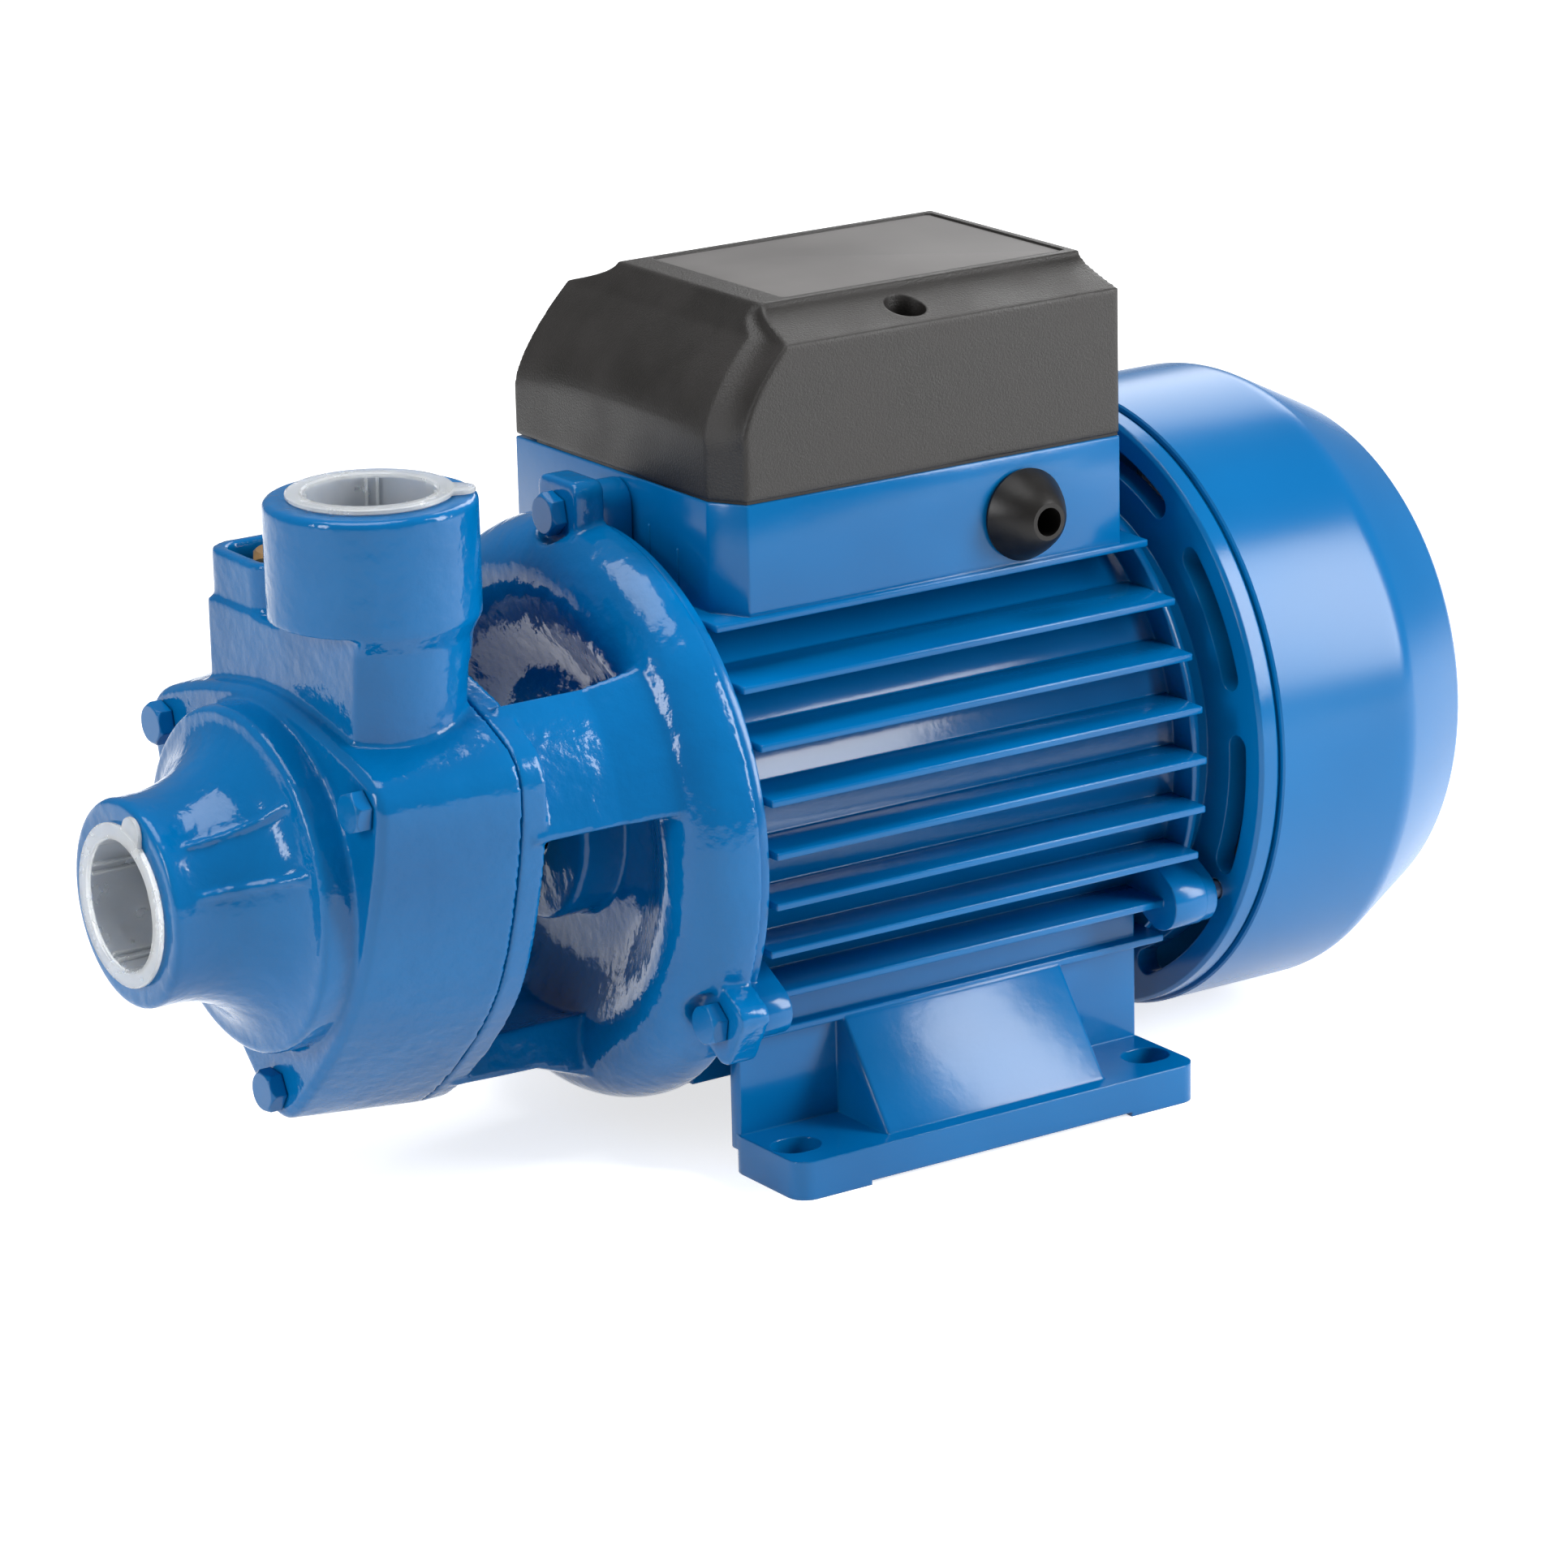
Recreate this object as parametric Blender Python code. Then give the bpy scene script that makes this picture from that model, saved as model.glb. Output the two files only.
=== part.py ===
"""Water pump with a finned electric motor, as separate named pieces.

Each piece is modelled round the shaft: x = 0 is the joint between pump body and bracket,
+x runs to the fan cover and -y is the side with the cable grommet. An empty then stands
the pump on its feet, with the origin under the middle of its box. Lengths are in metres.
"""

import math

import bmesh
import bpy
from mathutils import Vector

# Fits
SEAT_GAP = 0.0003
RUNNING_GAP = 0.0006
BOLT_CLEARANCE = 0.0004

# Whole pump
AXIS_HEIGHT = 0.075
BIG_SEGMENTS = 24
MID_SEGMENTS = 12
SMALL_SEGMENTS = 10
TINY_SEGMENTS = 8
HEX_SIDES = 6
ROUND_STEPS = 4
BOLT_ANGLES = (30.0, 150.0, 270.0)
EAR_ANGLES = (90.0, 210.0, 330.0)
FLATNESS = 0.0001
POINT_GAP = 0.000001
FLAT_ANGLE = 0.002
SMOOTH_ANGLE = 35.0

# Ports, for one inch pipe
PORT_BORE_RADIUS = 0.0152
PORT_WALL = 0.0076
PORT_THREAD_DEPTH = 0.020
PORT_EDGE = 0.0008

# Pump body
BODY_DEPTH = 0.0325
BODY_DRAFT = 0.0055
BODY_FRONT_LOBE_RADIUS = 0.0070
BODY_REAR_LOBE_RADIUS = 0.0100
BODY_EDGE = 0.0015
BODY_BOLT_OUTSET = 0.0027
LOBED_POINTS = 30
RING_STEP = 0.0025
RING_HEIGHT = 0.008
NOZZLE_LENGTH = 0.0265
NOZZLE_COLLAR = 0.006
NOZZLE_LIP = 0.001
NOZZLE_STEPS = 5
SUCTION_RADIUS = 0.0125
CHAMBER_RIM_GAP = 0.0013
CHAMBER_DEPTH = 0.012
GROOVE_OUTSET = 0.0045
GROOVE_HALF_WIDTH = 0.0016
GROOVE_RIM = 0.005
GROOVE_DEPTH = 0.0024
O_RING_SIDES = 4

# Outlet, priming block and tower on top of the body
TOP_PORT_SETBACK = 0.0148
OUTLET_OFFSET = 0.020
OUTLET_TOP = 0.0846
OUTLET_BOSS_HEIGHT = 0.0252
NECK_TOP_STEP = 0.0022
NECK_TOP_DROP = 0.0042
NECK_ROOT_STEP = 0.0051
NECK_ROOT_HEIGHT = 0.026
DELIVERY_RADIUS = 0.011
BLOCK_FRONT_SETBACK = 0.0038
BLOCK_TOP = 0.055
BLOCK_FAR_SIDE = 0.028
JOINT_RELIEF = 0.0005
JOINT_RELIEF_HEIGHT = 0.049
TOWER_OFFSET = 0.017
TOWER_HALF = 0.0132
TOWER_TOP = 0.066
TOWER_ROOT_HEIGHT = 0.0234
TOWER_WALL = 0.0030
TOWER_CORNER = 0.005
POCKET_DEPTH = 0.011
POCKET_CORNER_STEP = 0.0012
PASSAGE_OVERLAP = 0.0073
PLUG_THREAD_RADIUS = 0.0066
PLUG_THREAD_LENGTH = 0.008
PLUG_HEAD_RADIUS = 0.0080
PLUG_HEAD_HEIGHT = 0.0085
PLUG_HEAD_EDGE = 0.00085
WASHER_RADIUS = 0.0086
WASHER_THICKNESS = 0.0015

# Transport caps
CAP_LIP_WIDTH = 0.0027
CAP_LIP_THICKNESS = 0.0012
CAP_DEPTH = 0.014
CAP_WALL = 0.0011
CAP_TAB_OUTSET = 0.0043
CAP_TAB_WIDTH = 0.008
CAP_TAB_STEP = 0.00012
CAP_RIB_HEIGHT = 0.0008
CAP_RIB_WIDTH = 0.0010
CAP_RIBS = 6
INLET_TAB_ANGLE = -20.0
OUTLET_TAB_ANGLE = -32.0

# Hex bolts and screws
BOLT_RADIUS = 0.003
BOLT_FLATS = 0.010
BOLT_HEAD = 0.004
BOLT_EDGE = 0.0005
BODY_BOLT_GRIP = 0.004
SCREW_RADIUS = 0.002
SCREW_HEAD_RADIUS = 0.0038
SCREW_HEAD = 0.0028
SCREW_EDGE = 0.0009
SCREW_SLOT = 0.0015
SCREW_SLOT_DEPTH = 0.0011

# Bracket
FLANGE_THICKNESS = 0.006
BRACKET_LENGTH = 0.051
BELL_OVERLAP = 0.0005
BELL_EDGE = 0.0015
BELL_DEPTH = 0.0150
BELL_ROLL = 0.0125
BELL_INNER_ROLL = 0.0095
BELL_STEPS = 3
BELL_WALL = 0.004
SPIGOT_LENGTH = 0.003
SPIGOT_WALL = 0.0032
ARM_SPAN = 33.0
ARM_STEPS = 5
ARM_ROOT_OUTSET = 0.0080
ARM_WAIST_OUTSET = 0.0085
ARM_BELL_DROP = 0.0050
ARM_THICKNESS = 0.0090
EAR_OUTSET = 0.0015
EAR_REACH = 0.0075
EAR_HALF_WIDTH = 0.008
EAR_DEPTH = 0.0075
EAR_ROOT = 0.006
EAR_CORNER = 0.003
SEAL_HUB_ROOT_RADIUS = 0.029
SEAL_HUB_RADIUS = 0.020
SEAL_CAVITY_RADIUS = 0.014
SEAL_HUB_WALL = 0.0025
BEARING_HUB_WALL = 0.0052
BEARING_HUB_NOSE = 0.0038
BEARING_RIM_SETBACK = 0.0027

# Shaft and bearings
SHAFT_HOLE_CLEARANCE = 0.0015
FRONT_BEARING_BORE = 0.0075
FRONT_BEARING_RADIUS = 0.0175
FRONT_BEARING_WIDTH = 0.011
REAR_BEARING_BORE = 0.006
REAR_BEARING_RADIUS = 0.016
REAR_BEARING_WIDTH = 0.010
BEARING_RACE = 0.003
BEARING_SHIELD = 0.0008
ROTOR_SHAFT_RADIUS = 0.009
SHAFT_NOSE = 0.0035
FAN_SEAT_LENGTH = 0.036

# Impeller and shaft seal
IMPELLER_RADIUS = 0.0352
IMPELLER_WIDTH = 0.008
IMPELLER_SIDE_GAP = 0.0014
IMPELLER_WEB = 0.0026
IMPELLER_VANES = 20
VANE_DEPTH = 0.006
VANE_SHARE = 0.42
IMPELLER_HUB_RADIUS = 0.011
IMPELLER_HUB_LENGTH = 0.003
KEY_WIDTH = 0.004
KEY_HEIGHT = 0.004
CIRCLIP_THICKNESS = 0.001
CIRCLIP_HEIGHT = 0.0026
CIRCLIP_OPENING = 40.0
CIRCLIP_GROOVE = 0.0008
CIRCLIP_STEPS = 12
SEAL_FACE_RADIUS = 0.0125
SEAL_HEAD_LENGTH = 0.0045
SEAL_SEAT_LENGTH = 0.0045
SPRING_TURNS = 4
SPRING_WIRE_RADIUS = 0.0006
SPRING_LENGTH = 0.0072
SPRING_BORE_GAP = 0.0009
SPRING_POINTS = 8
SPRING_SIDES = 4
SLINGER_RADIUS = 0.0140
SLINGER_THICKNESS = 0.002

# Motor housing
HOUSING_LENGTH = 0.1227
BARREL_BORE_RADIUS = 0.0481
BARREL_WALL = 0.0049
FRONT_RING_HEIGHT = 0.011
FRONT_RING_WIDTH = 0.003
REAR_RING_HEIGHT = 0.0065
REAR_RING_WIDTH = 0.0024
FIN_HEIGHT = 0.0125
FIN_THICKNESS = 0.0020
FIN_PITCH = 0.01145
FIN_COUNT = 9
TOP_FIN_DROP = 0.0026
FIN_FRONT_SETBACK = 0.004
FIN_REAR_SETBACK = 0.0028
FIN_CORNER = 0.001
BOTTOM_FINS = 6
FRONT_LUG_RADIUS = 0.0055
REAR_LUG_LENGTH = 0.012
REAR_LUG_OVERHANG = 0.003
REAR_LUG_RADIUS = 0.0065

# Feet
FOOT_FRONT_SETBACK = 0.005
FOOT_LENGTH = 0.109
FOOT_WIDTH = 0.0272
FOOT_INSET = 0.0105
FOOT_WALL = 0.004
FOOT_THICKNESS = 0.0088
FOOT_CORNER = 0.004
FOOT_RELIEF = 0.001
FOOT_PAD_LENGTH = 0.019
FOOT_HOLE_RADIUS = 0.0047
FOOT_SLOT = 0.002
FOOT_HOLE_EDGE = 0.0112
FOOT_HOLE_INSET = 0.0067
GUSSET_LENGTH = 0.0595
GUSSET_SETBACK = 0.0262
GUSSET_FOOT_INSET = 0.0037
GUSSET_TOP_OUTSET = 0.0027

# Terminal box
BOX_FRONT_SETBACK = 0.0085
BOX_LENGTH = 0.1047
BOX_HALF_WIDTH = 0.0428
BOX_DEPTH = 0.0227
BOX_WALL = 0.003
BOX_FLOOR_WALL = 0.0029
BOX_CORNER_X = 0.005
BOX_CORNER_Y = 0.0083
BOX_CORNER_SHARE = 0.55
GASKET_THICKNESS = 0.0006
GASKET_INSET = 0.0004
GASKET_WIDTH = 0.0020
LID_HEIGHT = 0.0386
LID_WALL = 0.0024
LID_TOP_FRONT = 0.0192
LID_SHOULDER_FRONT = 0.0148
LID_COVE = 0.0146
LID_COVE_STEP = 0.0029
LID_SHOULDER_DROP = 0.0062
LID_FRONT_RISE = 0.0110
LID_STEPS = 4
LID_TOP_CORNER = 0.001
LID_FLUTE = 0.0016
LID_SLOPE_POWER = 1.6
LID_RECESS = 0.0006
LID_RECESS_MARGIN = 0.0021
LID_RECESS_FRONT = 0.0075
LID_SCREW_INSET = 0.0076
LID_SCREW_HOLE_RADIUS = 0.0046
LID_POST_WALL = 0.0016
LID_POST_SEAT = 0.008
BASE_POST_RADIUS = 0.0050
WIRE_HOLE_RADIUS = 0.006
GROMMET_SETBACK = 0.0779
GROMMET_RISE = 0.0094
GROMMET_BASE_RADIUS = 0.0104
GROMMET_NECK_RADIUS = 0.0072
GROMMET_TIP_RADIUS = 0.0048
GROMMET_LENGTH = 0.0125
GROMMET_INNER_FLANGE = 0.0016
GROMMET_HOLE_RADIUS = 0.0032
GROMMET_EDGE = 0.00125
CAPACITOR_RADIUS = 0.0125
CAPACITOR_LENGTH = 0.056
CAPACITOR_Y = 0.014
BOARD_LENGTH = 0.044
BOARD_WIDTH = 0.020
BOARD_THICKNESS = 0.005
BOARD_Y = -0.018
STUD_RADIUS = 0.002
STUD_HEIGHT = 0.006
STUD_COLUMNS = 3

# Stator and rotor
STATOR_LENGTH = 0.062
ROTOR_RADIUS = 0.027
WINDING_LENGTH = 0.018
WINDING_CLEARANCE = 0.0026
WINDING_BORE_STEP = 0.0030
WINDING_CORNER = 0.0045
CAGE_RING_LENGTH = 0.007
CAGE_RING_STEP = 0.002
CAGE_RING_WIDTH = 0.010

# Rear end shield
SHIELD_COLLAR_LENGTH = 0.007
SHIELD_DISC_THICKNESS = 0.0054
SHIELD_STEP = 0.001
SHIELD_SCREW_INSET = 0.008
SHIELD_SPIGOT_LENGTH = 0.004
SHIELD_LEDGE = 0.0046
SHIELD_LEDGE_WALL = 0.002
SHIELD_HUB_WALL = 0.0047
SHIELD_HUB_REACH = 0.0085
SHIELD_WEB = 0.0072
SHIELD_BACK_WALL = 0.003
SLOT_RIM = 0.0055
SLOT_WIDTH = 0.006
SLOT_SPAN = 31.0
SLOTS_PER_SCREW = 3
SLOT_STEPS = 3
WAVE_HEIGHT = 0.0006
WAVE_COUNT = 3
WAVE_STRIP = 0.0004
WAVE_STEPS = 6

# Fan and cover
COVER_OVERHANG = 0.0075
COVER_WALL = 0.0015
COVER_STRAIGHT = 0.0371
COVER_LENGTH = 0.0622
COVER_TAPER = 0.0125
COVER_ROUND = 0.004
GRILLE_RINGS = 3
GRILLE_INNER_RADIUS = 0.016
GRILLE_SLOT = 0.0050
GRILLE_STEP = 0.0115
GRILLE_ARCS = 4
GRILLE_BRIDGE = 16.0
GRILLE_STEPS = 4
FAN_COVER_GAP = 0.0155
FAN_HUB_RADIUS = 0.012
FAN_WIDTH = 0.018
FAN_SETBACK = 0.009
FAN_BLADES = 8
FAN_BLADE_THICKNESS = 0.002
FAN_BLADE_ROOT = 0.0024
FAN_BLADE_SHIFT = 0.2
FAN_DISC_RADIUS = 0.040

# Stations along the shaft
BODY_FRONT_X = -BODY_DEPTH
RING_FRONT_X = BODY_FRONT_X - RING_HEIGHT
INLET_FACE_X = RING_FRONT_X - NOZZLE_LENGTH
CHAMBER_FRONT_X = -CHAMBER_DEPTH
TOP_PORT_X = -TOP_PORT_SETBACK
FLANGE_FRONT_X = SEAT_GAP
FLANGE_REAR_X = FLANGE_FRONT_X + FLANGE_THICKNESS
RIM_X = BRACKET_LENGTH
HOUSING_FRONT_X = RIM_X + SEAT_GAP
HOUSING_REAR_X = HOUSING_FRONT_X + HOUSING_LENGTH
SHIELD_FRONT_X = HOUSING_REAR_X + SEAT_GAP
DISC_FRONT_X = SHIELD_FRONT_X + SHIELD_COLLAR_LENGTH
DISC_REAR_X = DISC_FRONT_X + SHIELD_DISC_THICKNESS
COVER_FRONT_X = DISC_REAR_X + SEAT_GAP
COVER_REAR_X = COVER_FRONT_X + COVER_LENGTH
STATOR_MIDDLE_X = 0.5 * (HOUSING_FRONT_X + HOUSING_REAR_X)
STATOR_FRONT_X = STATOR_MIDDLE_X - 0.5 * STATOR_LENGTH
STATOR_REAR_X = STATOR_MIDDLE_X + 0.5 * STATOR_LENGTH
IMPELLER_FRONT_X = CHAMBER_FRONT_X + IMPELLER_SIDE_GAP
IMPELLER_REAR_X = IMPELLER_FRONT_X + IMPELLER_WIDTH
IMPELLER_HUB_X = IMPELLER_REAR_X + IMPELLER_HUB_LENGTH
SPRING_FRONT_X = IMPELLER_HUB_X + SEAT_GAP
SEAL_HEAD_X = SPRING_FRONT_X + SPRING_LENGTH + SEAT_GAP
SEAL_SEAT_X = SEAL_HEAD_X + SEAL_HEAD_LENGTH + SEAT_GAP
SEAL_WALL_X = SEAL_SEAT_X + SEAL_SEAT_LENGTH + SEAT_GAP
SEAL_HUB_X = SEAL_WALL_X + SEAL_HUB_WALL
BEARING_REAR_X = RIM_X - BEARING_RIM_SETBACK
FRONT_BEARING_X = BEARING_REAR_X - FRONT_BEARING_WIDTH
BEARING_SEAT_X = FRONT_BEARING_X - SEAT_GAP
BEARING_NOSE_X = BEARING_SEAT_X - BEARING_HUB_NOSE
SLINGER_X = 0.5 * (SEAL_HUB_X + BEARING_NOSE_X - SLINGER_THICKNESS)
SHIELD_WALL_X = SHIELD_FRONT_X + SHIELD_WEB - SHIELD_BACK_WALL
WAVE_ROOM = WAVE_HEIGHT + WAVE_STRIP + 2.0 * SEAT_GAP
REAR_BEARING_X = SHIELD_WALL_X - WAVE_ROOM - REAR_BEARING_WIDTH
FAN_FRONT_X = DISC_REAR_X + FAN_SETBACK
FAN_REAR_X = FAN_FRONT_X + FAN_WIDTH
BOX_FRONT_X = HOUSING_FRONT_X + BOX_FRONT_SETBACK
BOX_REAR_X = BOX_FRONT_X + BOX_LENGTH
BOX_MIDDLE_X = 0.5 * (BOX_FRONT_X + BOX_REAR_X)
FRONT_LUG_LENGTH = BOX_FRONT_SETBACK - SEAT_GAP
FOOT_FRONT_X = HOUSING_FRONT_X + FOOT_FRONT_SETBACK
FOOT_REAR_X = FOOT_FRONT_X + FOOT_LENGTH
REAR_LUG_X = HOUSING_REAR_X + REAR_LUG_OVERHANG - REAR_LUG_LENGTH
GROMMET_X = BOX_FRONT_X + GROMMET_SETBACK

# Radii that follow from a neighbour, from the ports to the pump's rim
PORT_BOSS_RADIUS = PORT_BORE_RADIUS + PORT_WALL
CAP_CUP_RADIUS = PORT_BORE_RADIUS - 2.0 * SEAT_GAP
CAP_LIP_RADIUS = PORT_BORE_RADIUS + CAP_LIP_WIDTH
CAP_TAB_REACH = CAP_LIP_RADIUS + CAP_TAB_OUTSET
NECK_TOP_RADIUS = PORT_BOSS_RADIUS - NECK_TOP_STEP
NECK_ROOT_RADIUS = PORT_BOSS_RADIUS - NECK_ROOT_STEP
CHAMBER_RADIUS = IMPELLER_RADIUS + CHAMBER_RIM_GAP
GROOVE_RADIUS = CHAMBER_RADIUS + GROOVE_OUTSET
BODY_REAR_CORE_RADIUS = GROOVE_RADIUS + GROOVE_RIM
BODY_FRONT_CORE_RADIUS = BODY_REAR_CORE_RADIUS - BODY_DRAFT
BODY_BOLT_PITCH_RADIUS = BODY_REAR_CORE_RADIUS + BODY_BOLT_OUTSET
RING_RADIUS = BODY_FRONT_CORE_RADIUS - RING_STEP
BOLT_HOLE_RADIUS = BOLT_RADIUS + BOLT_CLEARANCE
BOLT_CORNER_RADIUS = 0.5 * BOLT_FLATS / math.cos(math.pi / HEX_SIDES)
SPOT_FACE_RADIUS = BOLT_CORNER_RADIUS + BOLT_CLEARANCE
SCREW_HOLE_RADIUS = SCREW_RADIUS + BOLT_CLEARANCE

# Radii that follow from a neighbour, from the shaft to the fan cover
PUMP_SHAFT_RADIUS = FRONT_BEARING_BORE - SEAT_GAP
FAN_SHAFT_RADIUS = REAR_BEARING_BORE - SEAT_GAP
PUMP_SHAFT_HOLE = PUMP_SHAFT_RADIUS + SHAFT_HOLE_CLEARANCE
FAN_SHAFT_HOLE = FAN_SHAFT_RADIUS + SHAFT_HOLE_CLEARANCE
FRONT_BEARING_SEAT = FRONT_BEARING_RADIUS + SEAT_GAP
REAR_BEARING_SEAT = REAR_BEARING_RADIUS + SEAT_GAP
BEARING_HUB_RADIUS = FRONT_BEARING_SEAT + BEARING_HUB_WALL
SHIELD_HUB_RADIUS = REAR_BEARING_SEAT + SHIELD_HUB_WALL
SPIGOT_RADIUS = BARREL_BORE_RADIUS - SEAT_GAP
SPIGOT_BORE_RADIUS = SPIGOT_RADIUS - SPIGOT_WALL
STATOR_RADIUS = BARREL_BORE_RADIUS - SEAT_GAP
STATOR_BORE_RADIUS = ROTOR_RADIUS + RUNNING_GAP
WINDING_OUTER_RADIUS = BARREL_BORE_RADIUS - WINDING_CLEARANCE
WINDING_INNER_RADIUS = ROTOR_RADIUS + WINDING_BORE_STEP
CAGE_RING_OUTER = ROTOR_RADIUS - CAGE_RING_STEP
CAGE_RING_INNER = CAGE_RING_OUTER - CAGE_RING_WIDTH
BARREL_RADIUS = BARREL_BORE_RADIUS + BARREL_WALL
FRONT_RING_RADIUS = BARREL_RADIUS + FRONT_RING_HEIGHT
REAR_RING_RADIUS = BARREL_RADIUS + REAR_RING_HEIGHT
FIN_TIP_RADIUS = BARREL_RADIUS + FIN_HEIGHT
BELL_RADIUS = FIN_TIP_RADIUS + BELL_OVERLAP
BELL_LIP_RADIUS = BELL_RADIUS - BELL_ROLL
EAR_PITCH_RADIUS = BELL_RADIUS + EAR_OUTSET
EAR_TOP_RADIUS = EAR_PITCH_RADIUS + EAR_REACH
ARM_ROOT_RADIUS = BODY_REAR_CORE_RADIUS + ARM_ROOT_OUTSET
ARM_WAIST_RADIUS = BODY_REAR_CORE_RADIUS + ARM_WAIST_OUTSET
ARM_BELL_RADIUS = BELL_RADIUS - ARM_BELL_DROP
COVER_RADIUS = FIN_TIP_RADIUS + COVER_OVERHANG
COVER_BORE_RADIUS = COVER_RADIUS - COVER_WALL
COVER_REAR_RADIUS = COVER_RADIUS - COVER_TAPER
SHIELD_RADIUS = COVER_RADIUS - SHIELD_STEP
SHIELD_COLLAR_RADIUS = BARREL_RADIUS - SEAT_GAP
LEDGE_RADIUS = COVER_BORE_RADIUS - SEAT_GAP
SLOT_OUTER_RADIUS = SHIELD_RADIUS - SLOT_RIM
SLOT_INNER_RADIUS = SLOT_OUTER_RADIUS - SLOT_WIDTH
REAR_LUG_PITCH_RADIUS = SHIELD_RADIUS - SHIELD_SCREW_INSET
FAN_RADIUS = COVER_BORE_RADIUS - FAN_COVER_GAP

# Heights above the shaft, and distances beside it
FLOOR = -AXIS_HEIGHT
BOSS_BOTTOM = OUTLET_TOP - OUTLET_BOSS_HEIGHT
POCKET_FLOOR = TOWER_TOP - POCKET_DEPTH
BOX_FLOOR = BARREL_BORE_RADIUS + BOX_FLOOR_WALL
TOP_FIN_HEIGHT = BOX_FLOOR - TOP_FIN_DROP
BOX_TOP = BOX_FLOOR + BOX_DEPTH
GROMMET_HEIGHT = BOX_FLOOR + GROMMET_RISE
GASKET_BOTTOM = BOX_TOP + SEAT_GAP
LID_BOTTOM = GASKET_BOTTOM + GASKET_THICKNESS + SEAT_GAP
LID_TOP = LID_BOTTOM + LID_HEIGHT
LID_SHOULDER = LID_TOP - LID_SHOULDER_DROP
LID_TOP_HALF_WIDTH = BOX_HALF_WIDTH - LID_COVE
LID_SCREW_Y = BOX_HALF_WIDTH - LID_SCREW_INSET
LID_SCREW_SEAT = LID_BOTTOM + LID_POST_SEAT
LOW_FIN_HEIGHT = TOP_FIN_HEIGHT - (FIN_COUNT - 1) * FIN_PITCH
FOOT_INNER = BARREL_RADIUS - FOOT_INSET
FOOT_OUTER = FOOT_INNER + FOOT_WIDTH
FOOT_HOLE_Y = FOOT_OUTER - FOOT_HOLE_EDGE
GUSSET_FOOT_Y = FOOT_OUTER - GUSSET_FOOT_INSET
GUSSET_TOP_Y = FOOT_INNER + FOOT_WALL + GUSSET_TOP_OUTSET

BLUE_PAINT = ("blue_paint", (0.012, 0.150, 0.430, 1.0), 0.28, 0.0)
BLACK_PLASTIC = ("black_plastic", (0.045, 0.040, 0.037, 1.0), 0.62, 0.0)
CLEAR_PLASTIC = ("cap_plastic", (0.80, 0.82, 0.84, 1.0), 0.35, 0.0)
RUBBER = ("black_rubber", (0.020, 0.018, 0.017, 1.0), 0.70, 0.0)
GREEN_FIBRE = ("green_washer", (0.02, 0.20, 0.08, 1.0), 0.60, 0.0)
BRASS = ("brass", (0.62, 0.40, 0.17, 1.0), 0.38, 1.0)
STEEL = ("steel", (0.55, 0.56, 0.58, 1.0), 0.32, 1.0)
CORE_STEEL = ("lamination_steel", (0.30, 0.30, 0.32, 1.0), 0.50, 1.0)
COPPER = ("winding_copper", (0.55, 0.23, 0.10, 1.0), 0.45, 0.6)
ALUMINIUM = ("aluminium", (0.72, 0.73, 0.74, 1.0), 0.40, 1.0)
CERAMIC = ("seal_ceramic", (0.85, 0.84, 0.80, 1.0), 0.30, 0.0)
GREY_PLASTIC = ("grey_plastic", (0.30, 0.31, 0.32, 1.0), 0.55, 0.0)


def clear_scene():
    for item in list(bpy.data.objects):
        bpy.data.objects.remove(item, do_unlink=True)


def solid(points, faces):
    """Turn points and faces into an object whose faces point out."""
    mesh = bpy.data.meshes.new("solid")
    shape = bmesh.new()
    corners = [shape.verts.new(point) for point in points]
    for face in faces:
        shape.faces.new([corners[index] for index in face])
    bent = [face for face in shape.faces if len(face.verts) == 4]
    bmesh.ops.connect_verts_nonplanar(shape, angle_limit=FLATNESS, faces=bent)
    bmesh.ops.recalc_face_normals(shape, faces=shape.faces)
    shape.to_mesh(mesh)
    shape.free()
    item = bpy.data.objects.new("solid", mesh)
    bpy.context.scene.collection.objects.link(item)
    return item


def along(axis, height, across, up):
    """Point at a height on an axis, with two distances across it."""
    if axis == "X":
        return (height, across, up)
    if axis == "Y":
        return (up, height, across)
    return (across, up, height)


def turned(profile, segments, axis="X", centre=(0.0, 0.0, 0.0)):
    """Closed profile of (height, radius) points, turned once round an axis."""
    filled = profile[0][1] == 0.0
    levels = [point for point in profile if point[1] > 0.0]
    points = []
    for height, radius in levels:
        for step in range(segments):
            angle = 2.0 * math.pi * step / segments
            local = along(axis, height, radius * math.cos(angle), radius * math.sin(angle))
            points.append(Vector(local) + Vector(centre))
    faces = []
    if filled:
        faces.append(list(range(segments)))
        faces.append(list(range(len(points) - segments, len(points))))
    for level in range(len(levels) - 1 if filled else len(levels)):
        low = level * segments
        high = (level + 1) % len(levels) * segments
        for step in range(segments):
            after = (step + 1) % segments
            faces.append([low + step, low + after, high + after, high + step])
    return solid(points, faces)


def sector(profile, start, end, steps, axis="X"):
    """Closed profile of (height, radius) points, turned from one angle to another."""
    points = []
    for step in range(steps + 1):
        angle = math.radians(start + (end - start) * step / steps)
        for height, radius in profile:
            points.append(along(axis, height, radius * math.cos(angle), radius * math.sin(angle)))
    count = len(profile)
    faces = [list(range(count)), list(range(steps * count, (steps + 1) * count))]
    for step in range(steps):
        for index in range(count):
            after = (index + 1) % count
            low = step * count
            high = low + count
            faces.append([low + index, low + after, high + after, high + index])
    return solid(points, faces)


def lofted(rings):
    """Skin over rings of equally many points, closed at both ends."""
    count = len(rings[0])
    points = [point for ring in rings for point in ring]
    faces = [list(range(count)), list(range(len(points) - count, len(points)))]
    for level in range(len(rings) - 1):
        low = level * count
        high = low + count
        for index in range(count):
            after = (index + 1) % count
            faces.append([low + index, low + after, high + after, high + index])
    return solid(points, faces)


def prism(outline, low, high, axis):
    """Outline pushed along an axis from low to high."""
    return lofted([[along(axis, level, u, v) for u, v in outline] for level in (low, high)])


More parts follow.
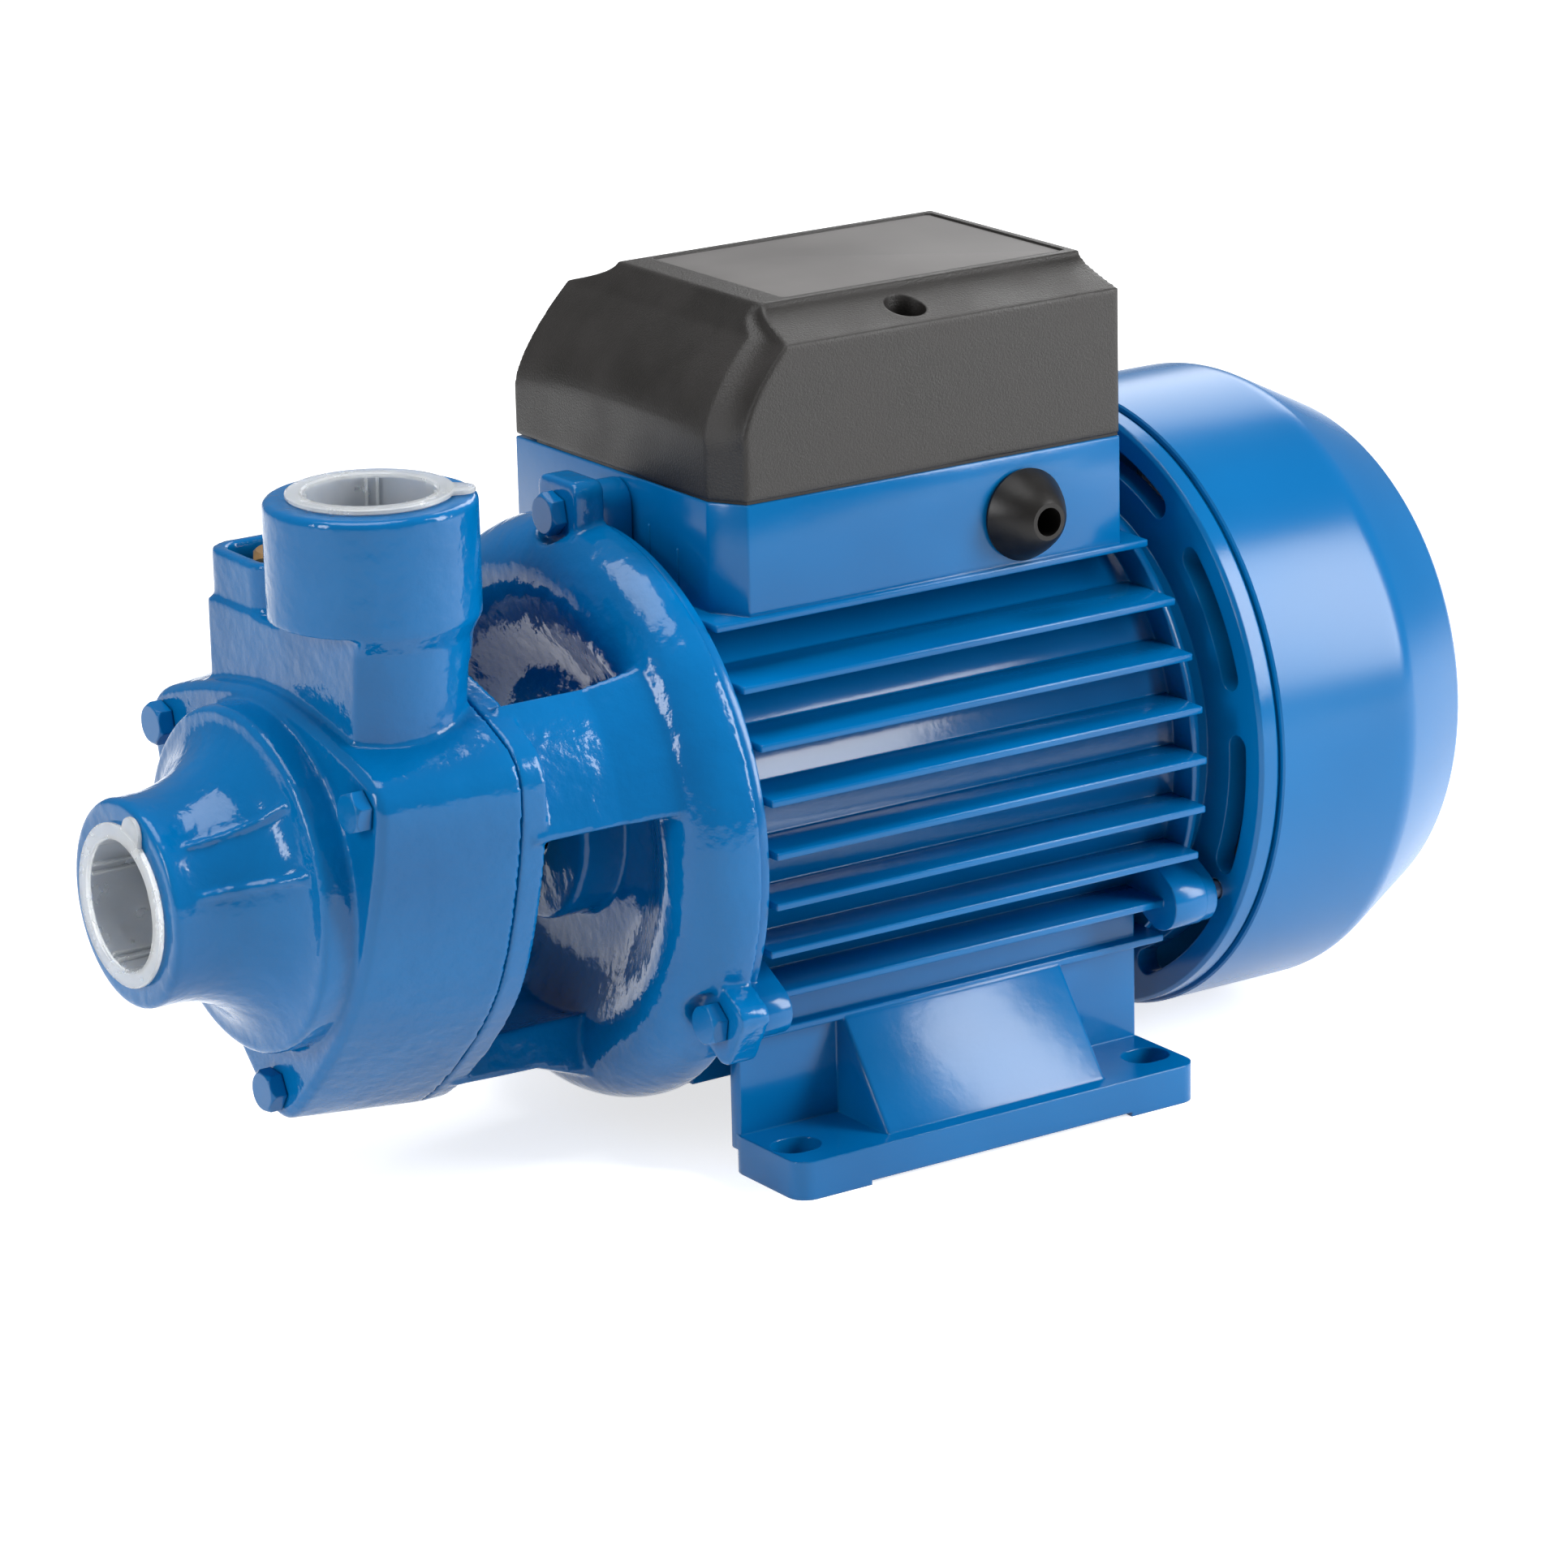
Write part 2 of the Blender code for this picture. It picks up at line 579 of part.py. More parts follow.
def box(low, high):
    outline = [(low[1], low[2]), (high[1], low[2]), (high[1], high[2]), (low[1], high[2])]
    return prism(outline, low[0], high[0], "X")


def cylinder(radius, low, high, axis="X", centre=(0.0, 0.0, 0.0), segments=SMALL_SEGMENTS):
    return turned([(low, 0.0), (low, radius), (high, radius), (high, 0.0)], segments, axis, centre)


def cornered(low, high, corner):
    """Rectangle in a plane with its four corners cut off."""
    return [(low[0] + corner, low[1]), (high[0] - corner, low[1]), (high[0], low[1] + corner),
            (high[0], high[1] - corner), (high[0] - corner, high[1]), (low[0] + corner, high[1]),
            (low[0], high[1] - corner), (low[0], low[1] + corner)]


def slotted(centre, radius, length, segments):
    """Outline of a hole with round ends, long in the first direction."""
    outline = []
    for step in range(segments):
        angle = 2.0 * math.pi * (step + 0.5) / segments
        shift = math.copysign(0.5 * length, math.cos(angle))
        outline.append((centre[0] + shift + radius * math.cos(angle), centre[1] + radius * math.sin(angle)))
    return outline


def polar(radius, degrees):
    return (radius * math.cos(math.radians(degrees)), radius * math.sin(math.radians(degrees)))


def merge_close_points(item):
    shape = bmesh.new()
    shape.from_mesh(item.data)
    bmesh.ops.remove_doubles(shape, verts=shape.verts, dist=POINT_GAP)
    bmesh.ops.dissolve_degenerate(shape, edges=shape.edges, dist=POINT_GAP)
    shape.to_mesh(item.data)
    shape.free()


def drop_flat_edges(item):
    """Leave out the edges between faces in one plane, where the solid stays closed without them."""
    shape = bmesh.new()
    shape.from_mesh(item.data)
    bmesh.ops.dissolve_limit(shape, angle_limit=FLAT_ANGLE, verts=shape.verts, edges=shape.edges)
    bmesh.ops.triangulate(shape, faces=shape.faces)
    if all(edge.is_manifold for edge in shape.edges):
        shape.to_mesh(item.data)
    shape.free()


def combine(base, pieces, operation):
    """Join pieces to a base or cut them from it, and remove the pieces."""
    for piece in pieces:
        modifier = base.modifiers.new("combine", "BOOLEAN")
        modifier.operation = operation
        modifier.solver = "EXACT"
        modifier.object = piece
        graph = bpy.context.evaluated_depsgraph_get()
        result = bpy.data.meshes.new_from_object(base.evaluated_get(graph))
        base.modifiers.remove(modifier)
        base.data = result
        bpy.data.objects.remove(piece, do_unlink=True)
        merge_close_points(base)
    return base


def join(base, *pieces):
    return combine(base, pieces, "UNION")


def cut(base, *pieces):
    return combine(base, pieces, "DIFFERENCE")


def material(finish):
    name, colour, roughness, metallic = finish
    paint = bpy.data.materials.get(name)
    if paint is None:
        paint = bpy.data.materials.new(name)
        paint.use_nodes = True
        shader = paint.node_tree.nodes["Principled BSDF"]
        shader.inputs["Base Color"].default_value = colour
        shader.inputs["Roughness"].default_value = roughness
        shader.inputs["Metallic"].default_value = metallic
    return paint


def name_piece(item, name, finish, parent):
    """Shade the piece, name it and hang it in the assembly."""
    drop_flat_edges(item)
    item.data.shade_smooth()
    item.data.set_sharp_from_angle(angle=math.radians(SMOOTH_ANGLE))
    item.name = name
    item.data.name = name
    item.data.materials.clear()
    item.data.materials.append(material(finish))
    item.parent = parent
    return item


def copy_piece(item, name, location=(0.0, 0.0, 0.0)):
    """Second object with the same mesh, at another place."""
    twin = bpy.data.objects.new(name, item.data)
    bpy.context.scene.collection.objects.link(twin)
    twin.parent = item.parent
    twin.location = location
    return twin


def empty(name, parent=None, location=(0.0, 0.0, 0.0)):
    guide = bpy.data.objects.new(name, None)
    bpy.context.scene.collection.objects.link(guide)
    guide.parent = parent
    guide.location = location
    return guide


def lobed_outline(core_radius, lobe_radius):
    """Round outline with a lobe at each bolt, drawn by the direction of its edge."""
    outline = []
    for step in range(LOBED_POINTS):
        angle = 360.0 * step / LOBED_POINTS
        centre = (0.0, 0.0)
        radius = core_radius
        reach = core_radius
        for bolt in BOLT_ANGLES:
            lobe_reach = BODY_BOLT_PITCH_RADIUS * math.cos(math.radians(angle - bolt)) + lobe_radius
            if lobe_reach > reach:
                reach = lobe_reach
                radius = lobe_radius
                centre = polar(BODY_BOLT_PITCH_RADIUS, bolt)
        y, z = polar(radius, angle)
        outline.append((centre[0] + y, centre[1] + z))
    return outline


def lobed_ring(x, core_radius, lobe_radius):
    return [(x, y, z) for y, z in lobed_outline(core_radius, lobe_radius)]


def nozzle():
    """Trumpet nozzle and raised ring, as one turned shape."""
    start = INLET_FACE_X + NOZZLE_COLLAR
    length = RING_FRONT_X - start
    rise = RING_RADIUS - NOZZLE_LIP - PORT_BOSS_RADIUS
    profile = [(INLET_FACE_X, 0.0), (INLET_FACE_X, PORT_BOSS_RADIUS - PORT_EDGE),
               (INLET_FACE_X + PORT_EDGE, PORT_BOSS_RADIUS)]
    for step in range(NOZZLE_STEPS + 1):
        angle = 0.5 * math.pi * step / NOZZLE_STEPS
        flare = 1.0 - math.cos(angle)
        profile.append((start + length * math.sin(angle), PORT_BOSS_RADIUS + rise * flare))
    profile.append((RING_FRONT_X + NOZZLE_LIP, RING_RADIUS))
    inside = BODY_FRONT_X + 0.5 * BODY_DEPTH
    profile += [(inside, RING_RADIUS), (inside, 0.0)]
    return turned(profile, BIG_SEGMENTS)


def outlet_stack():
    """Outlet boss and its neck, flat in front where the priming block runs on."""
    centre = (TOP_PORT_X, -OUTLET_OFFSET, 0.0)
    profile = [(NECK_ROOT_HEIGHT, 0.0), (NECK_ROOT_HEIGHT, NECK_ROOT_RADIUS),
               (BOSS_BOTTOM - NECK_TOP_DROP, NECK_TOP_RADIUS), (BOSS_BOTTOM, PORT_BOSS_RADIUS),
               (OUTLET_TOP - PORT_EDGE, PORT_BOSS_RADIUS), (OUTLET_TOP, PORT_BOSS_RADIUS - PORT_EDGE),
               (OUTLET_TOP, 0.0)]
    stack = turned(profile, BIG_SEGMENTS, "Z", centre)
    front = BODY_FRONT_X + BLOCK_FRONT_SETBACK
    block = box((BODY_FRONT_X, -OUTLET_OFFSET, NECK_ROOT_HEIGHT),
                (-TOWER_WALL, BLOCK_FAR_SIDE, BLOCK_TOP))
    join(stack, block)
    reach = OUTLET_OFFSET + 2.0 * PORT_BOSS_RADIUS
    front_cut = box((INLET_FACE_X, -reach, FLOOR), (front, reach, BOSS_BOTTOM))
    joint_cut = box((-JOINT_RELIEF, -reach, FLOOR), (BRACKET_LENGTH, reach, JOINT_RELIEF_HEIGHT))
    return cut(stack, front_cut, joint_cut)


def tower():
    """Rounded square tower round the priming plug."""
    low = (TOP_PORT_X - TOWER_HALF, TOWER_OFFSET - TOWER_HALF)
    high = (TOP_PORT_X + TOWER_HALF - JOINT_RELIEF, TOWER_OFFSET + TOWER_HALF)
    return prism(cornered(low, high, TOWER_CORNER), TOWER_ROOT_HEIGHT, TOWER_TOP, "Z")


def body_passages():
    """Everything hollow in the pump body: ports, chamber, pocket, holes and groove."""
    outlet = (TOP_PORT_X, -OUTLET_OFFSET, 0.0)
    priming = (TOP_PORT_X, TOWER_OFFSET, 0.0)
    past = BRACKET_LENGTH
    chamber_top = CHAMBER_RADIUS - PASSAGE_OVERLAP
    inlet_bore = cylinder(PORT_BORE_RADIUS, INLET_FACE_X - past, INLET_FACE_X + PORT_THREAD_DEPTH,
                          segments=MID_SEGMENTS)
    suction = cylinder(SUCTION_RADIUS, INLET_FACE_X, CHAMBER_FRONT_X + RUNNING_GAP, segments=MID_SEGMENTS)
    chamber = cylinder(CHAMBER_RADIUS, CHAMBER_FRONT_X, past, segments=BIG_SEGMENTS)
    outlet_bore = cylinder(PORT_BORE_RADIUS, OUTLET_TOP - PORT_THREAD_DEPTH, OUTLET_TOP + past, "Z",
                           outlet, MID_SEGMENTS)
    delivery = cylinder(DELIVERY_RADIUS, chamber_top, OUTLET_TOP, "Z", outlet)
    half = TOWER_HALF - TOWER_WALL
    corner = TOWER_CORNER - POCKET_CORNER_STEP
    low = (TOP_PORT_X - half, TOWER_OFFSET - half)
    high = (TOP_PORT_X + half - JOINT_RELIEF, TOWER_OFFSET + half)
    pocket = prism(cornered(low, high, corner), POCKET_FLOOR, TOWER_TOP + past, "Z")
    filler = cylinder(PLUG_THREAD_RADIUS + RUNNING_GAP, chamber_top, TOWER_TOP, "Z", priming)
    groove = turned([(-GROOVE_DEPTH, GROOVE_RADIUS - GROOVE_HALF_WIDTH),
                     (-GROOVE_DEPTH, GROOVE_RADIUS + GROOVE_HALF_WIDTH),
                     (past, GROOVE_RADIUS + GROOVE_HALF_WIDTH),
                     (past, GROOVE_RADIUS - GROOVE_HALF_WIDTH)], BIG_SEGMENTS)
    holes = []
    for angle in BOLT_ANGLES:
        y, z = polar(BODY_BOLT_PITCH_RADIUS, angle)
        holes.append(cylinder(BOLT_HOLE_RADIUS, BODY_FRONT_X - past, past, centre=(0.0, y, z)))
    return [inlet_bore, suction, chamber, outlet_bore, delivery, pocket, filler, groove] + holes


def make_pump_body(root):
    edge_core = BODY_FRONT_CORE_RADIUS - BODY_EDGE
    edge_lobe = BODY_FRONT_LOBE_RADIUS - BODY_EDGE
    rings = [lobed_ring(BODY_FRONT_X, edge_core, edge_lobe),
             lobed_ring(BODY_FRONT_X + BODY_EDGE, BODY_FRONT_CORE_RADIUS, BODY_FRONT_LOBE_RADIUS),
             lobed_ring(0.0, BODY_REAR_CORE_RADIUS, BODY_REAR_LOBE_RADIUS)]
    body = join(lofted(rings), tower(), outlet_stack(), nozzle())
    cut(body, *body_passages())
    name_piece(body, "pump_body", BLUE_PAINT, root)


def make_body_o_ring(root):
    """Ring squeezed flat against the joint face."""
    radius = GROOVE_HALF_WIDTH - SEAT_GAP
    middle = -GROOVE_DEPTH + SEAT_GAP + radius
    profile = []
    for side in range(O_RING_SIDES):
        across, up = polar(radius, 360.0 * side / O_RING_SIDES)
        profile.append((min(middle + across, 0.0), GROOVE_RADIUS + up))
    name_piece(turned(profile, BIG_SEGMENTS), "body_o_ring", RUBBER, root)


def make_caps(inlet_guide, outlet_guide):
    """Thin cup with a lip, a pull tab and inner ribs, built to stand in a port that faces up."""
    base = SEAT_GAP
    top = base + CAP_LIP_THICKNESS
    floor = base - CAP_DEPTH
    inner = CAP_CUP_RADIUS - CAP_WALL
    profile = [(floor, 0.0), (floor, CAP_CUP_RADIUS), (base, CAP_CUP_RADIUS), (base, CAP_LIP_RADIUS),
               (top, CAP_LIP_RADIUS), (top, inner), (floor + CAP_WALL, inner), (floor + CAP_WALL, 0.0)]
    cap = turned(profile, MID_SEGMENTS, "Z")
    reach = CAP_TAB_REACH - 0.5 * CAP_TAB_WIDTH
    tab = [(0.5 * (inner + CAP_LIP_RADIUS), 0.5 * CAP_TAB_WIDTH)]
    for step in range(ROUND_STEPS + 1):
        across, up = polar(0.5 * CAP_TAB_WIDTH, 90.0 - 180.0 * step / ROUND_STEPS)
        tab.append((reach + across, up))
    tab.append((0.5 * (inner + CAP_LIP_RADIUS), -0.5 * CAP_TAB_WIDTH))
    inside = CAP_TAB_STEP
    join(cap, prism(tab, base + inside, top - inside, "Z"))
    for rib in range(CAP_RIBS):
        angle = 2.0 * math.pi * (rib + 0.5) / CAP_RIBS
        outline = []
        for across, up in ((inner - CAP_RIB_HEIGHT, -1.0), (inner + 0.5 * CAP_WALL, -1.0),
                           (inner + 0.5 * CAP_WALL, 1.0), (inner - CAP_RIB_HEIGHT, 1.0)):
            side = 0.5 * up * CAP_RIB_WIDTH
            outline.append((across * math.cos(angle) - side * math.sin(angle),
                            across * math.sin(angle) + side * math.cos(angle)))
        join(cap, prism(outline, floor + 0.5 * CAP_WALL, base, "Z"))
    outlet_cap = name_piece(cap, "outlet_cap", CLEAR_PLASTIC, outlet_guide)
    outlet_cap.rotation_euler = (0.0, 0.0, math.radians(OUTLET_TAB_ANGLE))
    inlet_cap = copy_piece(outlet_cap, "inlet_cap")
    inlet_cap.rotation_euler = (0.0, 0.0, math.radians(INLET_TAB_ANGLE))
    inlet_cap.parent = inlet_guide


def make_priming_plug(guide):
    """Hex plug and its washer, built round the plug's own axis."""
    washer_top = POCKET_FLOOR + SEAT_GAP + WASHER_THICKNESS
    head_base = washer_top + SEAT_GAP
    washer = turned([(POCKET_FLOOR + SEAT_GAP, PLUG_THREAD_RADIUS + RUNNING_GAP),
                     (POCKET_FLOOR + SEAT_GAP, WASHER_RADIUS), (washer_top, WASHER_RADIUS),
                     (washer_top, PLUG_THREAD_RADIUS + RUNNING_GAP)], SMALL_SEGMENTS, "Z")
    name_piece(washer, "priming_washer", GREEN_FIBRE, guide)
    edge = PLUG_HEAD_EDGE
    head = turned([(head_base, 0.0), (head_base, PLUG_HEAD_RADIUS),
                   (head_base + PLUG_HEAD_HEIGHT - edge, PLUG_HEAD_RADIUS),
                   (head_base + PLUG_HEAD_HEIGHT, PLUG_HEAD_RADIUS - edge),
                   (head_base + PLUG_HEAD_HEIGHT, 0.0)], HEX_SIDES, "Z")
    thread = cylinder(PLUG_THREAD_RADIUS, POCKET_FLOOR - PLUG_THREAD_LENGTH, head_base + edge, "Z")
    name_piece(join(head, thread), "priming_plug", BRASS, guide)


def hex_bolt(length):
    """Hex bolt along +x, with the underside of its head at x = 0."""
    head = turned([(-BOLT_HEAD, 0.0), (-BOLT_HEAD, BOLT_CORNER_RADIUS - BOLT_EDGE),
                   (-BOLT_HEAD + BOLT_EDGE, BOLT_CORNER_RADIUS), (0.0, BOLT_CORNER_RADIUS),
                   (0.0, 0.0)], HEX_SIDES)
    return join(head, cylinder(BOLT_RADIUS, -0.5 * BOLT_HEAD, length))


def make_ring_of_bolts(root, name, head_x, length, pitch_radius, angles):
    first = name_piece(hex_bolt(length), name + "_1", BLUE_PAINT, root)
    for index, angle in enumerate(angles):
        y, z = polar(pitch_radius, angle)
        bolt = first if index == 0 else copy_piece(first, name + "_" + str(index + 1))
        bolt.location = (head_x, y, z)


def bell():
    """Bell that closes the motor: dome rolled over into a pocket, bearing hub and spigot."""
    lip_x = RIM_X - BELL_DEPTH
    edge_x = RIM_X - BELL_EDGE
    pocket_x = BEARING_REAR_X - BELL_WALL
    profile = [(BEARING_NOSE_X, PUMP_SHAFT_HOLE), (BEARING_NOSE_X, BEARING_HUB_RADIUS - BELL_EDGE),
               (BEARING_NOSE_X + BELL_EDGE, BEARING_HUB_RADIUS), (pocket_x, BEARING_HUB_RADIUS)]
    for step in range(BELL_STEPS):
        angle = 0.5 * math.pi * (1.0 - step / BELL_STEPS)
        x = lip_x + (pocket_x - lip_x) * (1.0 - math.cos(angle))
        profile.append((x, BELL_LIP_RADIUS - BELL_INNER_ROLL * math.sin(angle)))
    for step in range(BELL_STEPS + 1):
        angle = 0.5 * math.pi * (1.0 - step / BELL_STEPS)
        x = edge_x - (edge_x - lip_x) * math.sin(angle)
        profile.append((x, BELL_LIP_RADIUS + BELL_ROLL * math.cos(angle)))
    profile += [(RIM_X, BELL_RADIUS), (RIM_X, SPIGOT_RADIUS), (RIM_X + SPIGOT_LENGTH, SPIGOT_RADIUS),
                (RIM_X + SPIGOT_LENGTH, SPIGOT_BORE_RADIUS), (edge_x, SPIGOT_BORE_RADIUS),
                (BEARING_REAR_X, SPIGOT_BORE_RADIUS - BELL_WALL), (BEARING_REAR_X, FRONT_BEARING_SEAT),
                (BEARING_SEAT_X, FRONT_BEARING_SEAT), (BEARING_SEAT_X, PUMP_SHAFT_HOLE)]
    return turned(profile, BIG_SEGMENTS)


def arm(angle):
    """One arm of the lantern, widening from the flange to the bell."""
    start_x = FLANGE_FRONT_X + 0.5 * FLANGE_THICKNESS
    end_x = RIM_X - 0.5 * BELL_DEPTH
    waist_x = 0.5 * (FLANGE_REAR_X + end_x)
    inner = ARM_ROOT_RADIUS - ARM_THICKNESS
    profile = [(start_x, inner), (start_x, ARM_ROOT_RADIUS), (FLANGE_REAR_X, ARM_ROOT_RADIUS),
               (waist_x, ARM_WAIST_RADIUS), (end_x, ARM_BELL_RADIUS), (end_x, inner)]
    return sector(profile, angle - 0.5 * ARM_SPAN, angle + 0.5 * ARM_SPAN, ARM_STEPS)


def out_along(angle, points):
    """Turn (across, out) points so that out runs away from the shaft at an angle."""
    direction = math.radians(angle)
    return [(out * math.cos(direction) - across * math.sin(direction),
             out * math.sin(direction) + across * math.cos(direction)) for across, out in points]


def turned_block(half_width, inner, outer, corner, low_x, high_x, angle):
    """Block standing out from the shaft at an angle, with its outer corners cut."""
    points = [(-half_width, inner), (half_width, inner), (half_width, outer - corner),
              (half_width - corner, outer), (corner - half_width, outer), (-half_width, outer - corner)]
    return prism(out_along(angle, points), low_x, high_x, "X")


def round_lug(radius, inner, pitch_radius, low_x, high_x, angle):
    """Lug with a round end about its screw."""
    points = [(-radius, inner), (radius, inner)]
    for step in range(ROUND_STEPS + 1):
        across, up = polar(radius, 180.0 * step / ROUND_STEPS)
        points.append((across, pitch_radius + up))
    return prism(out_along(angle, points), low_x, high_x, "X")


def make_motor_bracket(root):
    outline = lobed_outline(BODY_REAR_CORE_RADIUS, BODY_REAR_LOBE_RADIUS)
    flange = prism(outline, FLANGE_FRONT_X, FLANGE_REAR_X, "X")
    middle = 0.5 * (FLANGE_FRONT_X + FLANGE_REAR_X)
    hub = turned([(middle, 0.0), (middle, SEAL_HUB_ROOT_RADIUS), (FLANGE_REAR_X, SEAL_HUB_ROOT_RADIUS),
                  (SEAL_HUB_X, SEAL_HUB_RADIUS), (SEAL_HUB_X, 0.0)], MID_SEGMENTS)
    bracket = join(flange, hub, bell())
    for angle in BOLT_ANGLES:
        join(bracket, arm(angle))
    ear_front = RIM_X - EAR_DEPTH
    past = BRACKET_LENGTH
    for angle in EAR_ANGLES:
        join(bracket, turned_block(EAR_HALF_WIDTH, BELL_RADIUS - EAR_ROOT, EAR_TOP_RADIUS, EAR_CORNER,
                                   ear_front, RIM_X - 0.5 * SEAT_GAP, angle))
        centre = (0.0, *polar(EAR_PITCH_RADIUS, angle))
        cut(bracket, cylinder(BOLT_HOLE_RADIUS, ear_front - BELL_WALL, RIM_X + past, centre=centre),
            cylinder(SPOT_FACE_RADIUS, ear_front - past, ear_front, centre=centre))
    cut(bracket, cylinder(SEAL_CAVITY_RADIUS, -past, SEAL_WALL_X, segments=MID_SEGMENTS),
        cylinder(PUMP_SHAFT_HOLE, -past, SEAL_HUB_X + RUNNING_GAP, segments=MID_SEGMENTS))
    for angle in BOLT_ANGLES:
        y, z = polar(BODY_BOLT_PITCH_RADIUS, angle)
        cut(bracket, cylinder(BOLT_HOLE_RADIUS, -past, FLANGE_REAR_X + BODY_BOLT_GRIP, centre=(0.0, y, z)))
    name_piece(bracket, "motor_bracket", BLUE_PAINT, root)


def fin_plate(height):
    """One level of fins, as a plate right through the barrel."""
    half = math.sqrt(FIN_TIP_RADIUS ** 2 - height ** 2)
    low = (HOUSING_FRONT_X + FIN_FRONT_SETBACK, -half)
    high = (HOUSING_REAR_X - FIN_REAR_SETBACK, half)
    outline = cornered(low, high, FIN_CORNER)
    return prism(outline, height - 0.5 * FIN_THICKNESS, height + 0.5 * FIN_THICKNESS, "Z")


def bottom_fin(side):
    bottom = -math.sqrt(FIN_TIP_RADIUS ** 2 - side ** 2)
    root = -math.sqrt((BARREL_RADIUS - 0.5 * BARREL_WALL) ** 2 - side ** 2)
    low = (HOUSING_FRONT_X + FIN_FRONT_SETBACK, side - 0.5 * FIN_THICKNESS, bottom)
    high = (HOUSING_REAR_X - FIN_REAR_SETBACK, side + 0.5 * FIN_THICKNESS, root)
    return box(low, high)


def foot(side):
    """Rail, wall and gusset on one side of the motor; side is -1 or 1."""
    def across(low, high):
        return (low, high) if side > 0.0 else (-high, -low)

    near, far = across(FOOT_INNER, FOOT_OUTER)
    rail_top = FLOOR + FOOT_THICKNESS
    rail = prism(cornered((FOOT_FRONT_X, near), (FOOT_REAR_X, far), FOOT_CORNER), FLOOR, rail_top, "Z")
    near, far = across(FOOT_INNER + SEAT_GAP, FOOT_INNER + FOOT_WALL)
    inside = rail_top - 0.5 * FOOT_THICKNESS
    wall_top = LOW_FIN_HEIGHT + FIN_PITCH
    wall = box((FOOT_FRONT_X + SEAT_GAP, near, inside), (FOOT_REAR_X - SEAT_GAP, far, wall_top))
    start = FOOT_FRONT_X + GUSSET_SETBACK
    middle = FOOT_INNER + 0.5 * FOOT_WALL
    profile = [(middle, inside), (GUSSET_FOOT_Y, inside), (GUSSET_FOOT_Y, rail_top),
               (GUSSET_TOP_Y, LOW_FIN_HEIGHT), (middle, LOW_FIN_HEIGHT)]
    gusset = prism([(side * y, z) for y, z in profile], start, start + GUSSET_LENGTH, "X")
    return [rail, wall, gusset]


def foot_cuts(side):
    """Slots for the foundation bolts, and the relief between the pads of a foot."""
    tools = []
    past = AXIS_HEIGHT
    for x in (FOOT_FRONT_X + FOOT_HOLE_INSET, FOOT_REAR_X - FOOT_HOLE_INSET):
        outline = slotted((x, side * FOOT_HOLE_Y), FOOT_HOLE_RADIUS, FOOT_SLOT, MID_SEGMENTS)
        tools.append(prism(outline, FLOOR - past, FLOOR + FOOT_THICKNESS + SEAT_GAP, "Z"))
    edges = sorted((side * (FOOT_INNER - FOOT_WALL), side * (FOOT_OUTER + FOOT_WALL)))
    tools.append(box((FOOT_FRONT_X + FOOT_PAD_LENGTH, edges[0], FLOOR - past),
                     (FOOT_REAR_X - FOOT_PAD_LENGTH, edges[1], FLOOR + FOOT_RELIEF)))
    return tools


def box_outline(inset):
    """Plan of the terminal box, with its two front corners cut, as (x, y) points."""
    front = BOX_FRONT_X + inset
    rear = BOX_REAR_X - inset
    half = BOX_HALF_WIDTH - inset
    corner_x = front + BOX_CORNER_X - BOX_CORNER_SHARE * inset
    corner_y = half - BOX_CORNER_Y + BOX_CORNER_SHARE * inset
    return [(corner_x, -half), (rear, -half), (rear, half), (corner_x, half), (front, corner_y),
            (front, -corner_y)]


def add_lugs(housing):
    """Lugs at both ends of the barrel, each with a blind screw hole."""
    past = HOUSING_LENGTH
    root = BARREL_RADIUS - 0.5 * BARREL_WALL
    front_end = HOUSING_FRONT_X + FRONT_LUG_LENGTH
    rear_end = HOUSING_REAR_X + REAR_LUG_OVERHANG
    for angle in EAR_ANGLES:
        join(housing, round_lug(FRONT_LUG_RADIUS, root, EAR_PITCH_RADIUS, HOUSING_FRONT_X, front_end, angle),
             round_lug(REAR_LUG_RADIUS, root, REAR_LUG_PITCH_RADIUS, REAR_LUG_X, HOUSING_REAR_X, angle),
             round_lug(REAR_LUG_RADIUS - SEAT_GAP, SHIELD_COLLAR_RADIUS + RUNNING_GAP, REAR_LUG_PITCH_RADIUS,
                       HOUSING_REAR_X - 0.5 * REAR_RING_WIDTH, rear_end, angle))
        front = (0.0, *polar(EAR_PITCH_RADIUS, angle))
        rear = (0.0, *polar(REAR_LUG_PITCH_RADIUS, angle))
        cut(housing, cylinder(BOLT_HOLE_RADIUS, HOUSING_FRONT_X - past, front_end - SEAT_GAP, centre=front),
            cylinder(SCREW_HOLE_RADIUS, REAR_LUG_X + SEAT_GAP, rear_end + past, centre=rear))


